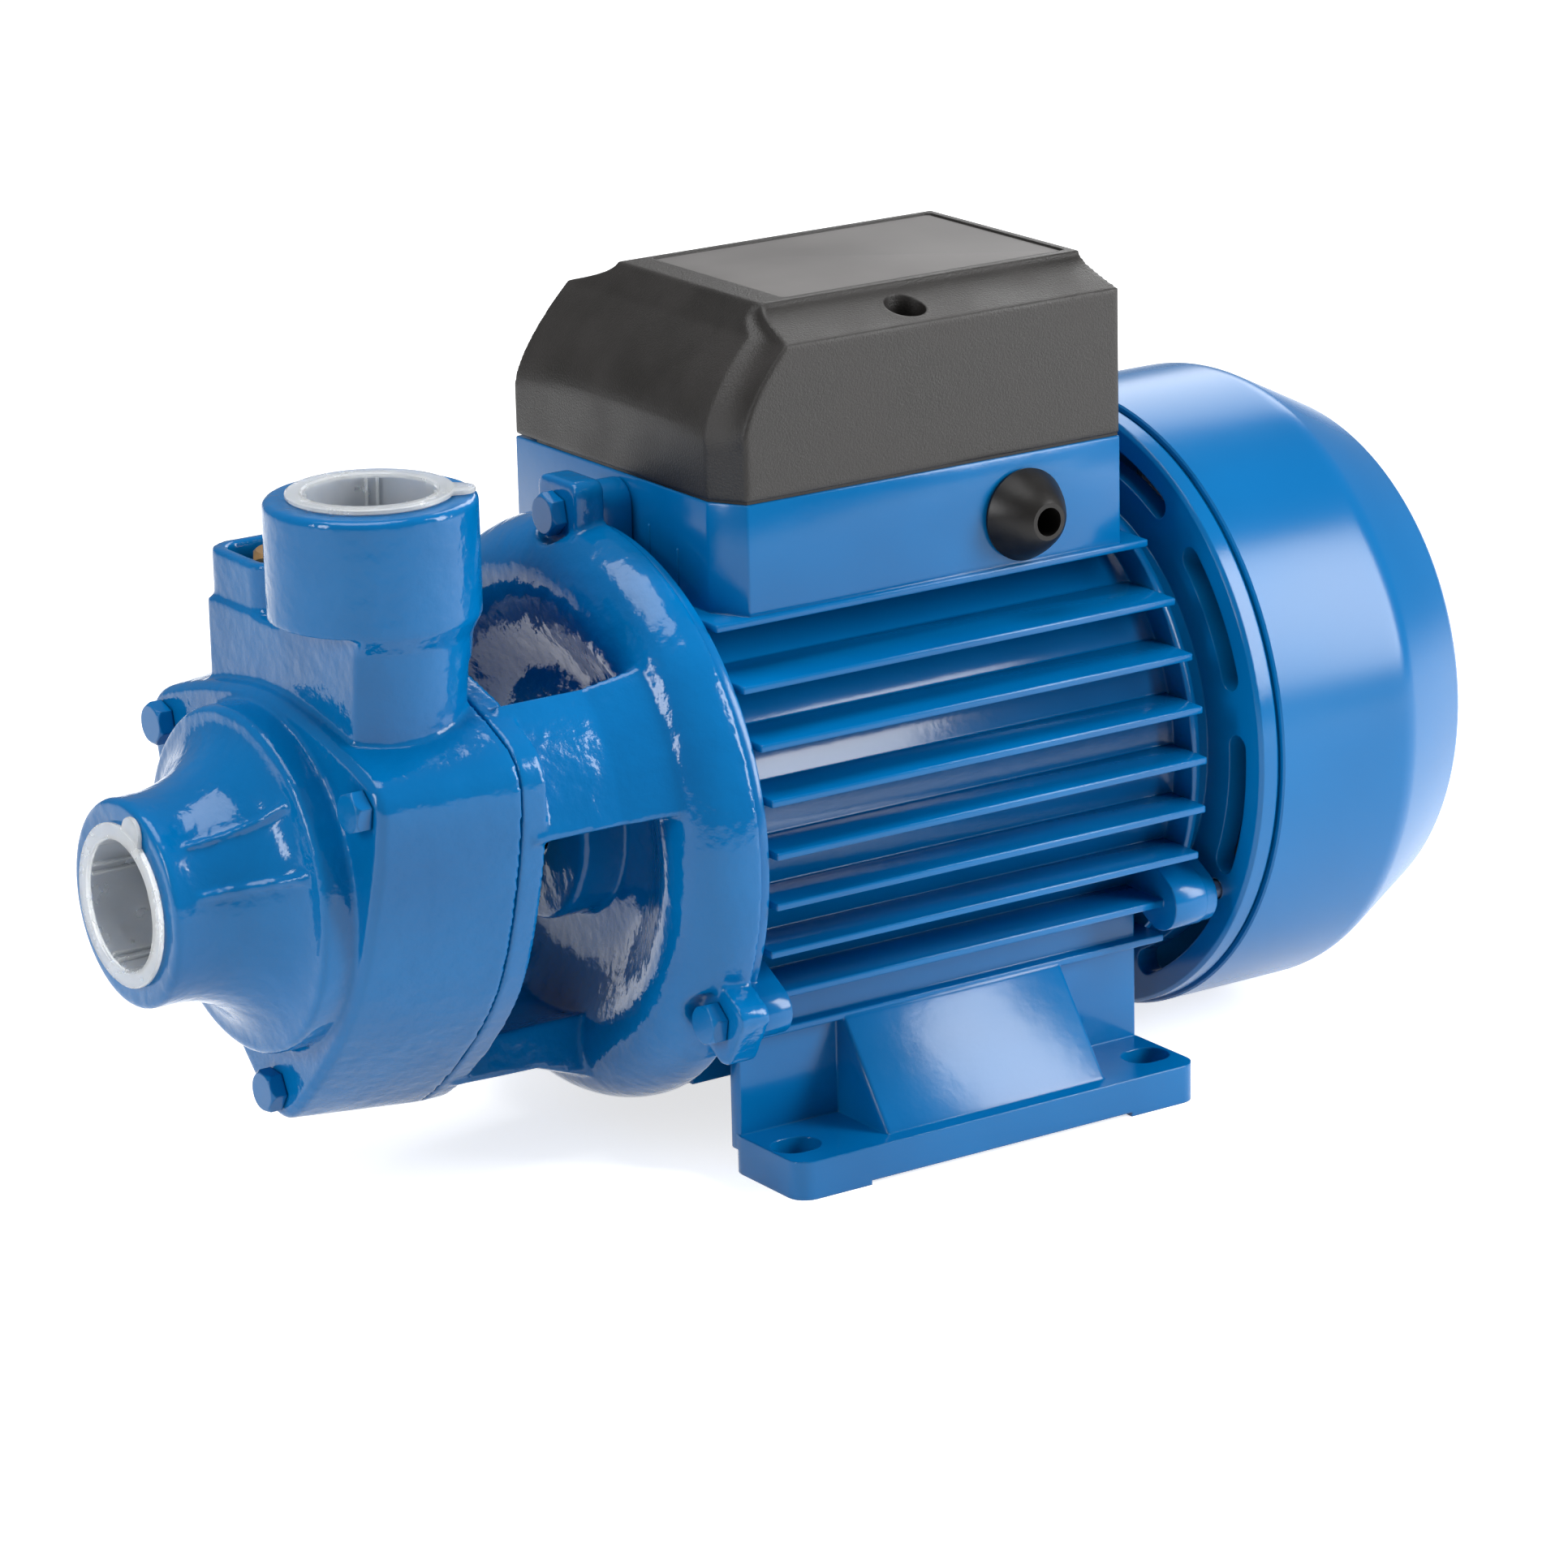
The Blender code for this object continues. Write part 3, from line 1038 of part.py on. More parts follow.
def make_motor_housing(root):
    past = HOUSING_LENGTH
    front_ring_end = HOUSING_FRONT_X + FRONT_RING_WIDTH
    rear_ring_start = HOUSING_REAR_X - REAR_RING_WIDTH
    housing = turned([(HOUSING_FRONT_X, 0.0), (HOUSING_FRONT_X, FRONT_RING_RADIUS),
                      (front_ring_end, FRONT_RING_RADIUS), (front_ring_end, BARREL_RADIUS),
                      (rear_ring_start, BARREL_RADIUS), (rear_ring_start, REAR_RING_RADIUS),
                      (HOUSING_REAR_X, REAR_RING_RADIUS), (HOUSING_REAR_X, 0.0)], BIG_SEGMENTS)
    for level in range(FIN_COUNT):
        join(housing, fin_plate(TOP_FIN_HEIGHT - level * FIN_PITCH))
    for index in range(BOTTOM_FINS):
        join(housing, bottom_fin((index - 0.5 * (BOTTOM_FINS - 1)) * FIN_PITCH))
    join(housing, prism(box_outline(0.0), TOP_FIN_HEIGHT, BOX_TOP, "Z"))
    for side in (-1.0, 1.0):
        join(housing, *foot(side))
    add_lugs(housing)
    bore = cylinder(BARREL_BORE_RADIUS, HOUSING_FRONT_X - past, HOUSING_REAR_X + past, segments=BIG_SEGMENTS)
    cut(housing, bore, prism(box_outline(BOX_WALL), BOX_FLOOR, BOX_TOP + past, "Z"))
    post_foot = BOX_FLOOR - 0.5 * BOX_FLOOR_WALL
    for side in (-1.0, 1.0):
        centre = (BOX_MIDDLE_X, side * LID_SCREW_Y, 0.0)
        join(housing, cylinder(BASE_POST_RADIUS, post_foot, BOX_TOP - 0.5 * SEAT_GAP, "Z", centre))
        cut(housing, cylinder(SCREW_HOLE_RADIUS, BOX_FLOOR + SEAT_GAP, BOX_TOP + past, "Z", centre))
        cut(housing, *foot_cuts(side))
    wire_hole = (STATOR_REAR_X + WIRE_HOLE_RADIUS, 0.0, 0.0)
    grommet = (GROMMET_X, 0.0, GROMMET_HEIGHT)
    neck = GROMMET_NECK_RADIUS + SEAT_GAP
    cut(housing, cylinder(WIRE_HOLE_RADIUS, 0.0, BOX_FLOOR + BOX_WALL, "Z", wire_hole),
        cylinder(neck, -2.0 * BOX_HALF_WIDTH, -0.5 * BOX_HALF_WIDTH, "Y", grommet, MID_SEGMENTS))
    name_piece(housing, "motor_housing", BLUE_PAINT, root)


def lid_section(height, front, half, cut_x, cut_y, flute):
    """One level of the lid, with its two front corners cut along a line that sags by the flute."""
    sag = (front + 0.5 * cut_x + flute, half - 0.5 * cut_y - flute)
    corner = [(front + cut_x, half), sag, (front, half - cut_y)]
    mirrored = [(x, -y) for x, y in reversed(corner)]
    outline = [(BOX_REAR_X, -half), (BOX_REAR_X, half)] + corner + mirrored
    return [(x, y, height) for x, y in outline]


def lid_shape(inset):
    """Lid as levels: upright walls, a rounded front slope, then a hollow cove up to the flat top."""
    slope_base = LID_BOTTOM + LID_FRONT_RISE
    levels = [lid_section(LID_BOTTOM, BOX_FRONT_X, BOX_HALF_WIDTH, BOX_CORNER_X, BOX_CORNER_Y, 0.0)]
    for step in range(LID_STEPS + 1):
        share = step / LID_STEPS
        height = slope_base + (LID_SHOULDER - slope_base) * share
        front = BOX_FRONT_X + LID_SHOULDER_FRONT * share ** LID_SLOPE_POWER
        levels.append(lid_section(height, front, BOX_HALF_WIDTH, BOX_CORNER_X * (1.0 + share),
                                  BOX_CORNER_Y * (1.0 + 0.5 * share), LID_FLUTE * share))
    cove_base = LID_SHOULDER + SEAT_GAP
    for step in range(LID_STEPS + 1):
        share = step / LID_STEPS
        left = 1.0 - share
        height = cove_base + (LID_TOP - cove_base) * share
        front = BOX_FRONT_X + LID_SHOULDER_FRONT + (LID_TOP_FRONT - LID_SHOULDER_FRONT) * share
        half = LID_TOP_HALF_WIDTH + (LID_COVE - LID_COVE_STEP) * left ** 2
        levels.append(lid_section(height, front, half, 2.0 * BOX_CORNER_X * left + LID_TOP_CORNER,
                                  BOX_CORNER_Y * left + LID_TOP_CORNER, LID_FLUTE * left))
    middle = Vector((BOX_MIDDLE_X, 0.0, LID_BOTTOM))
    shrink = Vector((1.0 - 2.0 * inset / BOX_LENGTH, 1.0 - inset / BOX_HALF_WIDTH, 1.0 - inset / LID_HEIGHT))
    return lofted([[middle + (Vector(point) - middle) * shrink for point in level] for level in levels])


def make_terminal_box_lid(root):
    past = LID_HEIGHT
    lid = lid_shape(0.0)
    hollow = lid_shape(LID_WALL)
    for corner in hollow.data.vertices:
        if corner.co.z < LID_BOTTOM + SEAT_GAP:
            corner.co.z = LID_BOTTOM - past
    cut(lid, hollow)
    recess_front = BOX_FRONT_X + LID_TOP_FRONT + LID_RECESS_FRONT
    recess_rear = BOX_REAR_X - LID_RECESS_MARGIN
    recess_side = LID_TOP_HALF_WIDTH - LID_RECESS_MARGIN
    recess_floor = LID_TOP - LID_RECESS
    cut(lid, box((recess_front, -recess_side, recess_floor), (recess_rear, recess_side, LID_TOP + past)))
    post_radius = LID_SCREW_HOLE_RADIUS + LID_POST_WALL
    for side in (-1.0, 1.0):
        centre = (BOX_MIDDLE_X, side * LID_SCREW_Y, 0.0)
        post = cylinder(post_radius, LID_BOTTOM + 0.5 * SEAT_GAP, LID_TOP - LID_WALL, "Z", centre)
        join(lid, combine(post, [lid_shape(0.5 * LID_WALL)], "INTERSECT"))
        cut(lid, cylinder(LID_SCREW_HOLE_RADIUS, LID_SCREW_SEAT, LID_TOP + past, "Z", centre),
            cylinder(SCREW_HOLE_RADIUS, LID_BOTTOM - past, LID_TOP, "Z", centre))
    name_piece(lid, "terminal_box_lid", BLACK_PLASTIC, root)


def make_terminal_box_inside(root):
    past = LID_HEIGHT
    gasket = prism(box_outline(GASKET_INSET), GASKET_BOTTOM, GASKET_BOTTOM + GASKET_THICKNESS, "Z")
    opening = box_outline(GASKET_INSET + GASKET_WIDTH)
    cut(gasket, prism(opening, GASKET_BOTTOM - past, GASKET_BOTTOM + past, "Z"))
    name_piece(gasket, "terminal_box_gasket", RUBBER, root)
    floor = BOX_FLOOR + SEAT_GAP
    half = 0.5 * CAPACITOR_LENGTH
    capacitor = cylinder(CAPACITOR_RADIUS, BOX_MIDDLE_X - half, BOX_MIDDLE_X + half,
                         centre=(0.0, CAPACITOR_Y, floor + CAPACITOR_RADIUS), segments=MID_SEGMENTS)
    name_piece(capacitor, "run_capacitor", GREY_PLASTIC, root)
    start = BOX_FRONT_X + BOX_WALL + BOARD_WIDTH
    top = floor + BOARD_THICKNESS
    half = 0.5 * BOARD_WIDTH
    board = box((start, BOARD_Y - half, floor), (start + BOARD_LENGTH, BOARD_Y + half, top))
    for column in range(STUD_COLUMNS):
        for row in (-0.5, 0.5):
            x = start + BOARD_LENGTH * (column + 0.5) / STUD_COLUMNS
            centre = (x, BOARD_Y + row * half, 0.0)
            stud = cylinder(STUD_RADIUS, 0.5 * (floor + top), top + STUD_HEIGHT, "Z", centre, HEX_SIDES)
            join(board, stud)
    name_piece(board, "terminal_board", BLACK_PLASTIC, root)


def screw_profile(tip):
    """Side view of a round-headed screw from its tip to its head, as (along, radius) points."""
    rim = SCREW_HEAD - SCREW_EDGE
    return [(tip, 0.0), (tip, SCREW_RADIUS), (0.0, SCREW_RADIUS), (0.0, SCREW_HEAD_RADIUS),
            (rim, SCREW_HEAD_RADIUS), (SCREW_HEAD, SCREW_HEAD_RADIUS - SCREW_EDGE), (SCREW_HEAD, 0.0)]


def make_lid_screws(root):
    """Screws at the bottom of the lid's two deep holes."""
    seat = LID_SCREW_SEAT + SEAT_GAP
    screw = turned(screw_profile(BOX_FLOOR + 2.0 * SEAT_GAP - seat), TINY_SEGMENTS, "Z")
    half = 0.5 * SCREW_SLOT
    past = 2.0 * SCREW_HEAD_RADIUS
    cut(screw, box((-past, -half, SCREW_HEAD - SCREW_SLOT_DEPTH), (past, half, SCREW_HEAD + past)))
    near = name_piece(screw, "lid_screw_near", STEEL, root)
    near.location = (BOX_MIDDLE_X, -LID_SCREW_Y, seat)
    copy_piece(near, "lid_screw_far", (BOX_MIDDLE_X, LID_SCREW_Y, seat))


def make_cable_grommet(root):
    outer = -BOX_HALF_WIDTH - SEAT_GAP
    inner = -BOX_HALF_WIDTH + BOX_WALL + SEAT_GAP
    tip = outer - GROMMET_LENGTH
    shoulder = outer - GROMMET_EDGE
    inner_radius = GROMMET_NECK_RADIUS + GROMMET_INNER_FLANGE
    inner_end = inner + GROMMET_INNER_FLANGE
    profile = [(tip, GROMMET_HOLE_RADIUS), (tip, GROMMET_TIP_RADIUS),
               (shoulder - GROMMET_EDGE, GROMMET_BASE_RADIUS - GROMMET_EDGE), (shoulder, GROMMET_BASE_RADIUS),
               (outer, GROMMET_BASE_RADIUS), (outer, GROMMET_NECK_RADIUS), (inner, GROMMET_NECK_RADIUS),
               (inner, inner_radius), (inner_end, inner_radius), (inner_end, GROMMET_HOLE_RADIUS)]
    grommet = turned(profile, MID_SEGMENTS, "Y", (GROMMET_X, 0.0, GROMMET_HEIGHT))
    name_piece(grommet, "cable_grommet", RUBBER, root)


def make_rear_end_shield(root):
    web_rear = SHIELD_FRONT_X + SHIELD_WEB
    ledge_x = DISC_REAR_X + SHIELD_LEDGE
    ledge_inner = LEDGE_RADIUS - SHIELD_LEDGE_WALL
    hub_front = SHIELD_FRONT_X - SHIELD_HUB_REACH
    spigot_x = SHIELD_FRONT_X - SHIELD_SPIGOT_LENGTH
    profile = [(hub_front, REAR_BEARING_SEAT), (hub_front, SHIELD_HUB_RADIUS),
               (SHIELD_FRONT_X, SHIELD_HUB_RADIUS), (SHIELD_FRONT_X, SPIGOT_BORE_RADIUS),
               (spigot_x, SPIGOT_BORE_RADIUS), (spigot_x, SPIGOT_RADIUS), (SHIELD_FRONT_X, SPIGOT_RADIUS),
               (SHIELD_FRONT_X, SHIELD_COLLAR_RADIUS), (DISC_FRONT_X, SHIELD_COLLAR_RADIUS),
               (DISC_FRONT_X, SHIELD_RADIUS), (DISC_REAR_X, SHIELD_RADIUS), (DISC_REAR_X, LEDGE_RADIUS),
               (ledge_x, LEDGE_RADIUS), (ledge_x, ledge_inner), (DISC_REAR_X, ledge_inner),
               (DISC_REAR_X, SPIGOT_RADIUS), (web_rear, SPIGOT_BORE_RADIUS), (web_rear, FAN_SHAFT_HOLE),
               (SHIELD_WALL_X, FAN_SHAFT_HOLE), (SHIELD_WALL_X, REAR_BEARING_SEAT)]
    shield = turned(profile, BIG_SEGMENTS)
    past = SHIELD_RADIUS
    slot = ring_profile(DISC_FRONT_X - SEAT_GAP, DISC_REAR_X + past, SLOT_INNER_RADIUS, SLOT_OUTER_RADIUS)
    slot_step = 360.0 / (len(EAR_ANGLES) * SLOTS_PER_SCREW)
    half = 0.5 * SLOT_SPAN
    for angle in EAR_ANGLES:
        for index in range(SLOTS_PER_SCREW):
            middle = angle + (index + 0.5) * slot_step
            cut(shield, sector(slot, middle - half, middle + half, SLOT_STEPS))
        centre = (0.0, *polar(REAR_LUG_PITCH_RADIUS, angle))
        cut(shield, cylinder(SCREW_HOLE_RADIUS, DISC_FRONT_X - past, DISC_REAR_X + past, centre=centre))
    name_piece(shield, "rear_end_shield", BLUE_PAINT, root)


def make_shield_screws(root):
    """Long screws from behind the disc into the rear lugs."""
    seat = DISC_REAR_X + SEAT_GAP
    screw = turned(screw_profile(REAR_LUG_X + 2.0 * SEAT_GAP - seat), TINY_SEGMENTS)
    first = name_piece(screw, "shield_screw_1", STEEL, root)
    for index, angle in enumerate(EAR_ANGLES):
        piece = first if index == 0 else copy_piece(first, "shield_screw_" + str(index + 1))
        piece.location = (seat, *polar(REAR_LUG_PITCH_RADIUS, angle))


def make_fan_cover(root):
    slant = math.atan2(COVER_TAPER, COVER_LENGTH - COVER_STRAIGHT)
    bend_x = COVER_FRONT_X + COVER_STRAIGHT
    inner_bend = bend_x - COVER_WALL * math.tan(0.5 * slant)
    rear_bore = COVER_REAR_RADIUS - COVER_WALL * math.tan(0.25 * math.pi - 0.5 * slant)
    inner_rear = COVER_REAR_X - COVER_WALL
    half = 0.5 * COVER_ROUND
    profile = [(inner_rear, 0.0), (inner_rear, rear_bore - half),
               (inner_bend, COVER_BORE_RADIUS - 0.5 * COVER_WALL),
               (inner_bend - COVER_ROUND, COVER_BORE_RADIUS), (COVER_FRONT_X, COVER_BORE_RADIUS),
               (COVER_FRONT_X, COVER_RADIUS), (bend_x - COVER_ROUND, COVER_RADIUS),
               (bend_x + COVER_ROUND * math.cos(slant), COVER_RADIUS - COVER_ROUND * math.sin(slant)),
               (COVER_REAR_X - half * math.cos(slant), COVER_REAR_RADIUS + half * math.sin(slant)),
               (COVER_REAR_X, COVER_REAR_RADIUS - half), (COVER_REAR_X, 0.0)]
    cover = turned(profile, BIG_SEGMENTS)
    span = 360.0 / GRILLE_ARCS
    half = 0.5 * (span - GRILLE_BRIDGE)
    low = COVER_REAR_X - 2.0 * COVER_WALL
    high = COVER_REAR_X + COVER_WALL
    for ring in range(GRILLE_RINGS):
        inner = GRILLE_INNER_RADIUS + ring * GRILLE_STEP
        slot = ring_profile(low, high, inner, inner + GRILLE_SLOT)
        for arc in range(GRILLE_ARCS):
            middle = span * (arc + 0.5 * (ring % 2))
            cut(cover, sector(slot, middle - half, middle + half, GRILLE_STEPS))
    name_piece(cover, "fan_cover", BLUE_PAINT, root)


def ring_profile(low, high, inner, outer):
    return [(low, inner), (low, outer), (high, outer), (high, inner)]


def make_bearing(name, start, bore, radius, width, fixed, turning):
    """Ball bearing as an outer ring with its two shields, and an inner ring."""
    inner_top = bore + BEARING_RACE
    outer_low = radius - BEARING_RACE
    shield = inner_top + RUNNING_GAP
    end = start + width
    race_low = start + BEARING_SHIELD
    race_high = end - BEARING_SHIELD
    profile = [(start, shield), (start, radius), (end, radius), (end, shield), (race_high, shield),
               (race_high, outer_low), (race_low, outer_low), (race_low, shield)]
    name_piece(turned(profile, MID_SEGMENTS), name + "_outer", STEEL, fixed)
    inner = turned(ring_profile(start, end, bore, inner_top), MID_SEGMENTS)
    name_piece(inner, name + "_inner", STEEL, turning)


def make_wave_spring(root):
    """Wavy washer that pushes the rear bearing forward."""
    base = REAR_BEARING_X + REAR_BEARING_WIDTH + SEAT_GAP
    inner = REAR_BEARING_RADIUS - BEARING_RACE
    steps = WAVE_STEPS * WAVE_COUNT
    points = []
    faces = []
    for step in range(steps):
        angle = 2.0 * math.pi * step / steps
        lift = base + 0.5 * WAVE_HEIGHT * (1.0 - math.cos(WAVE_COUNT * angle))
        section = ring_profile(lift, lift + WAVE_STRIP, inner, REAR_BEARING_RADIUS)
        points += [along("X", x, radius * math.cos(angle), radius * math.sin(angle)) for x, radius in section]
        corners = len(section)
        low = corners * step
        high = corners * ((step + 1) % steps)
        for index in range(corners):
            after = (index + 1) % corners
            faces.append([low + index, low + after, high + after, high + index])
    name_piece(solid(points, faces), "bearing_wave_spring", STEEL, root)


def make_stator(root):
    section = ring_profile(STATOR_FRONT_X, STATOR_REAR_X, STATOR_BORE_RADIUS, STATOR_RADIUS)
    stator = turned(section, BIG_SEGMENTS)
    name_piece(stator, "stator_core", CORE_STEEL, root)
    front_end = STATOR_FRONT_X - SEAT_GAP
    rear_end = STATOR_REAR_X + SEAT_GAP
    for name, low, high in (("winding_front", front_end - WINDING_LENGTH, front_end),
                            ("winding_rear", rear_end, rear_end + WINDING_LENGTH)):
        section = cornered((low, WINDING_INNER_RADIUS), (high, WINDING_OUTER_RADIUS), WINDING_CORNER)
        name_piece(turned(section, MID_SEGMENTS), name, COPPER, root)


def make_shaft(rotor):
    key_depth = 0.5 * KEY_HEIGHT
    start = IMPELLER_FRONT_X - SHAFT_NOSE
    shoulder = FRONT_BEARING_X + FRONT_BEARING_WIDTH + SEAT_GAP
    rear_shoulder = REAR_BEARING_X - SEAT_GAP
    groove = CIRCLIP_THICKNESS + 2.0 * SEAT_GAP
    clip_end = IMPELLER_FRONT_X - SEAT_GAP
    clip = clip_end - groove
    clip_floor = PUMP_SHAFT_RADIUS - CIRCLIP_GROOVE
    fan_clip = FAN_REAR_X + SEAT_GAP
    fan_clip_end = fan_clip + groove
    fan_clip_floor = FAN_SHAFT_RADIUS - CIRCLIP_GROOVE
    end = max(DISC_REAR_X + FAN_SEAT_LENGTH, fan_clip + SHAFT_NOSE)
    edge = 0.5 * CIRCLIP_GROOVE
    profile = [(start, 0.0), (start, PUMP_SHAFT_RADIUS - edge), (start + edge, PUMP_SHAFT_RADIUS),
               (clip, PUMP_SHAFT_RADIUS), (clip, clip_floor), (clip_end, clip_floor),
               (clip_end, PUMP_SHAFT_RADIUS), (shoulder, PUMP_SHAFT_RADIUS), (shoulder, ROTOR_SHAFT_RADIUS),
               (rear_shoulder, ROTOR_SHAFT_RADIUS), (rear_shoulder, FAN_SHAFT_RADIUS),
               (fan_clip, FAN_SHAFT_RADIUS), (fan_clip, fan_clip_floor), (fan_clip_end, fan_clip_floor),
               (fan_clip_end, FAN_SHAFT_RADIUS), (end - edge, FAN_SHAFT_RADIUS),
               (end, FAN_SHAFT_RADIUS - edge), (end, 0.0)]
    shaft = turned(profile, MID_SEGMENTS)
    half = 0.5 * KEY_WIDTH + 0.5 * SEAT_GAP
    cut(shaft, box((IMPELLER_FRONT_X, -half, PUMP_SHAFT_RADIUS - key_depth),
                   (IMPELLER_REAR_X, half, 2.0 * PUMP_SHAFT_RADIUS)))
    name_piece(shaft, "shaft", STEEL, rotor)
    low = PUMP_SHAFT_RADIUS - key_depth + SEAT_GAP
    key = box((IMPELLER_FRONT_X + SEAT_GAP, -0.5 * KEY_WIDTH, low),
              (IMPELLER_REAR_X - SEAT_GAP, 0.5 * KEY_WIDTH, low + KEY_HEIGHT))
    name_piece(key, "impeller_key", STEEL, rotor)
    half = 0.5 * CIRCLIP_OPENING
    for name, x, floor in (("impeller_circlip", clip, clip_floor), ("fan_circlip", fan_clip, fan_clip_floor)):
        low = x + SEAT_GAP
        inner = floor + SEAT_GAP
        section = ring_profile(low, low + CIRCLIP_THICKNESS, inner, inner + CIRCLIP_HEIGHT)
        name_piece(sector(section, half, 360.0 - half, CIRCLIP_STEPS), name, STEEL, rotor)


def make_impeller(rotor):
    """Thin disc with short vanes round both sides of its rim, on a keyed hub."""
    outline = []
    step = 360.0 / IMPELLER_VANES
    for vane in range(IMPELLER_VANES):
        for radius, share in ((IMPELLER_RADIUS - VANE_DEPTH, -VANE_SHARE), (IMPELLER_RADIUS, -VANE_SHARE),
                              (IMPELLER_RADIUS, VANE_SHARE), (IMPELLER_RADIUS - VANE_DEPTH, VANE_SHARE)):
            outline.append(polar(radius, step * (vane + 0.5 * share)))
    impeller = prism(outline, IMPELLER_FRONT_X, IMPELLER_REAR_X, "X")
    middle = 0.5 * (IMPELLER_FRONT_X + IMPELLER_REAR_X)
    half = 0.5 * IMPELLER_WEB
    web_radius = IMPELLER_RADIUS - SEAT_GAP
    join(impeller, cylinder(web_radius, middle - half, middle + half, segments=IMPELLER_VANES),
         cylinder(IMPELLER_HUB_RADIUS, middle, IMPELLER_HUB_X, segments=MID_SEGMENTS))
    past = IMPELLER_RADIUS
    half = 0.5 * KEY_WIDTH + SEAT_GAP
    top = PUMP_SHAFT_RADIUS + 0.5 * KEY_HEIGHT + 2.0 * SEAT_GAP
    cut(impeller, cylinder(PUMP_SHAFT_RADIUS + SEAT_GAP, -past, past, segments=MID_SEGMENTS),
        box((-past, -half, 0.0), (past, half, top)))
    name_piece(impeller, "impeller", BRASS, rotor)


def make_shaft_seal(root, rotor):
    bore = PUMP_SHAFT_RADIUS + SEAT_GAP
    head = ring_profile(SEAL_HEAD_X, SEAL_HEAD_X + SEAL_HEAD_LENGTH, bore, SEAL_FACE_RADIUS)
    name_piece(turned(head, MID_SEGMENTS), "seal_head", RUBBER, rotor)
    seat_radius = SEAL_CAVITY_RADIUS - SEAT_GAP
    seat = ring_profile(SEAL_SEAT_X, SEAL_SEAT_X + SEAL_SEAT_LENGTH, PUMP_SHAFT_HOLE, seat_radius)
    name_piece(turned(seat, MID_SEGMENTS), "seal_seat", CERAMIC, root)
    make_seal_spring(rotor)
    slinger = ring_profile(SLINGER_X, SLINGER_X + SLINGER_THICKNESS, bore, SLINGER_RADIUS)
    name_piece(turned(slinger, MID_SEGMENTS), "slinger", RUBBER, rotor)


def make_seal_spring(rotor):
    """Coil between the impeller's hub and the seal head, as one tube along a helix."""
    radius = PUMP_SHAFT_RADIUS + SPRING_BORE_GAP + SPRING_WIRE_RADIUS
    travel = SPRING_LENGTH - 2.0 * SPRING_WIRE_RADIUS
    count = SPRING_TURNS * SPRING_POINTS
    rings = []
    for step in range(count + 1):
        angle = 360.0 * step / SPRING_POINTS
        middle_x = SPRING_FRONT_X + SPRING_WIRE_RADIUS + travel * step / count
        ring = []
        for side in range(SPRING_SIDES):
            across, up = polar(SPRING_WIRE_RADIUS, 360.0 * side / SPRING_SIDES)
            ring.append((middle_x + up, *polar(radius + across, angle)))
        rings.append(ring)
    name_piece(lofted(rings), "seal_spring", STEEL, rotor)


def make_rotor_core(rotor):
    bore = ROTOR_SHAFT_RADIUS + SEAT_GAP
    core = turned(ring_profile(STATOR_FRONT_X, STATOR_REAR_X, bore, ROTOR_RADIUS), MID_SEGMENTS)
    name_piece(core, "rotor_core", CORE_STEEL, rotor)
    front_end = STATOR_FRONT_X - SEAT_GAP
    rear_end = STATOR_REAR_X + SEAT_GAP
    for name, low, high in (("rotor_ring_front", front_end - CAGE_RING_LENGTH, front_end),
                            ("rotor_ring_rear", rear_end, rear_end + CAGE_RING_LENGTH)):
        section = ring_profile(low, high, CAGE_RING_INNER, CAGE_RING_OUTER)
        name_piece(turned(section, MID_SEGMENTS), name, ALUMINIUM, rotor)


def make_cooling_fan(rotor):
    """Straight blades on a hub and a disc, so it blows the same either way round."""
    outline = []
    half = 0.5 * FAN_BLADE_THICKNESS
    root = FAN_HUB_RADIUS - FAN_BLADE_ROOT
    for blade in range(FAN_BLADES):
        corners = [(-half, root), (-half, FAN_RADIUS), (half, FAN_RADIUS), (half, root)]
        outline += out_along(360.0 * (blade + FAN_BLADE_SHIFT) / FAN_BLADES, corners)
    fan = prism(outline, FAN_FRONT_X + SEAT_GAP, FAN_REAR_X - FAN_BLADE_THICKNESS, "X")
    disc_x = FAN_FRONT_X + FAN_BLADE_THICKNESS
    join(fan, cylinder(FAN_HUB_RADIUS, FAN_FRONT_X, FAN_REAR_X, segments=BIG_SEGMENTS),
         cylinder(FAN_DISC_RADIUS, disc_x, disc_x + FAN_BLADE_THICKNESS, segments=BIG_SEGMENTS))
    bore = FAN_SHAFT_RADIUS + SEAT_GAP
    cut(fan, cylinder(bore, FAN_FRONT_X - FAN_WIDTH, FAN_REAR_X + FAN_WIDTH, segments=MID_SEGMENTS))
    name_piece(fan, "cooling_fan", GREY_PLASTIC, rotor)


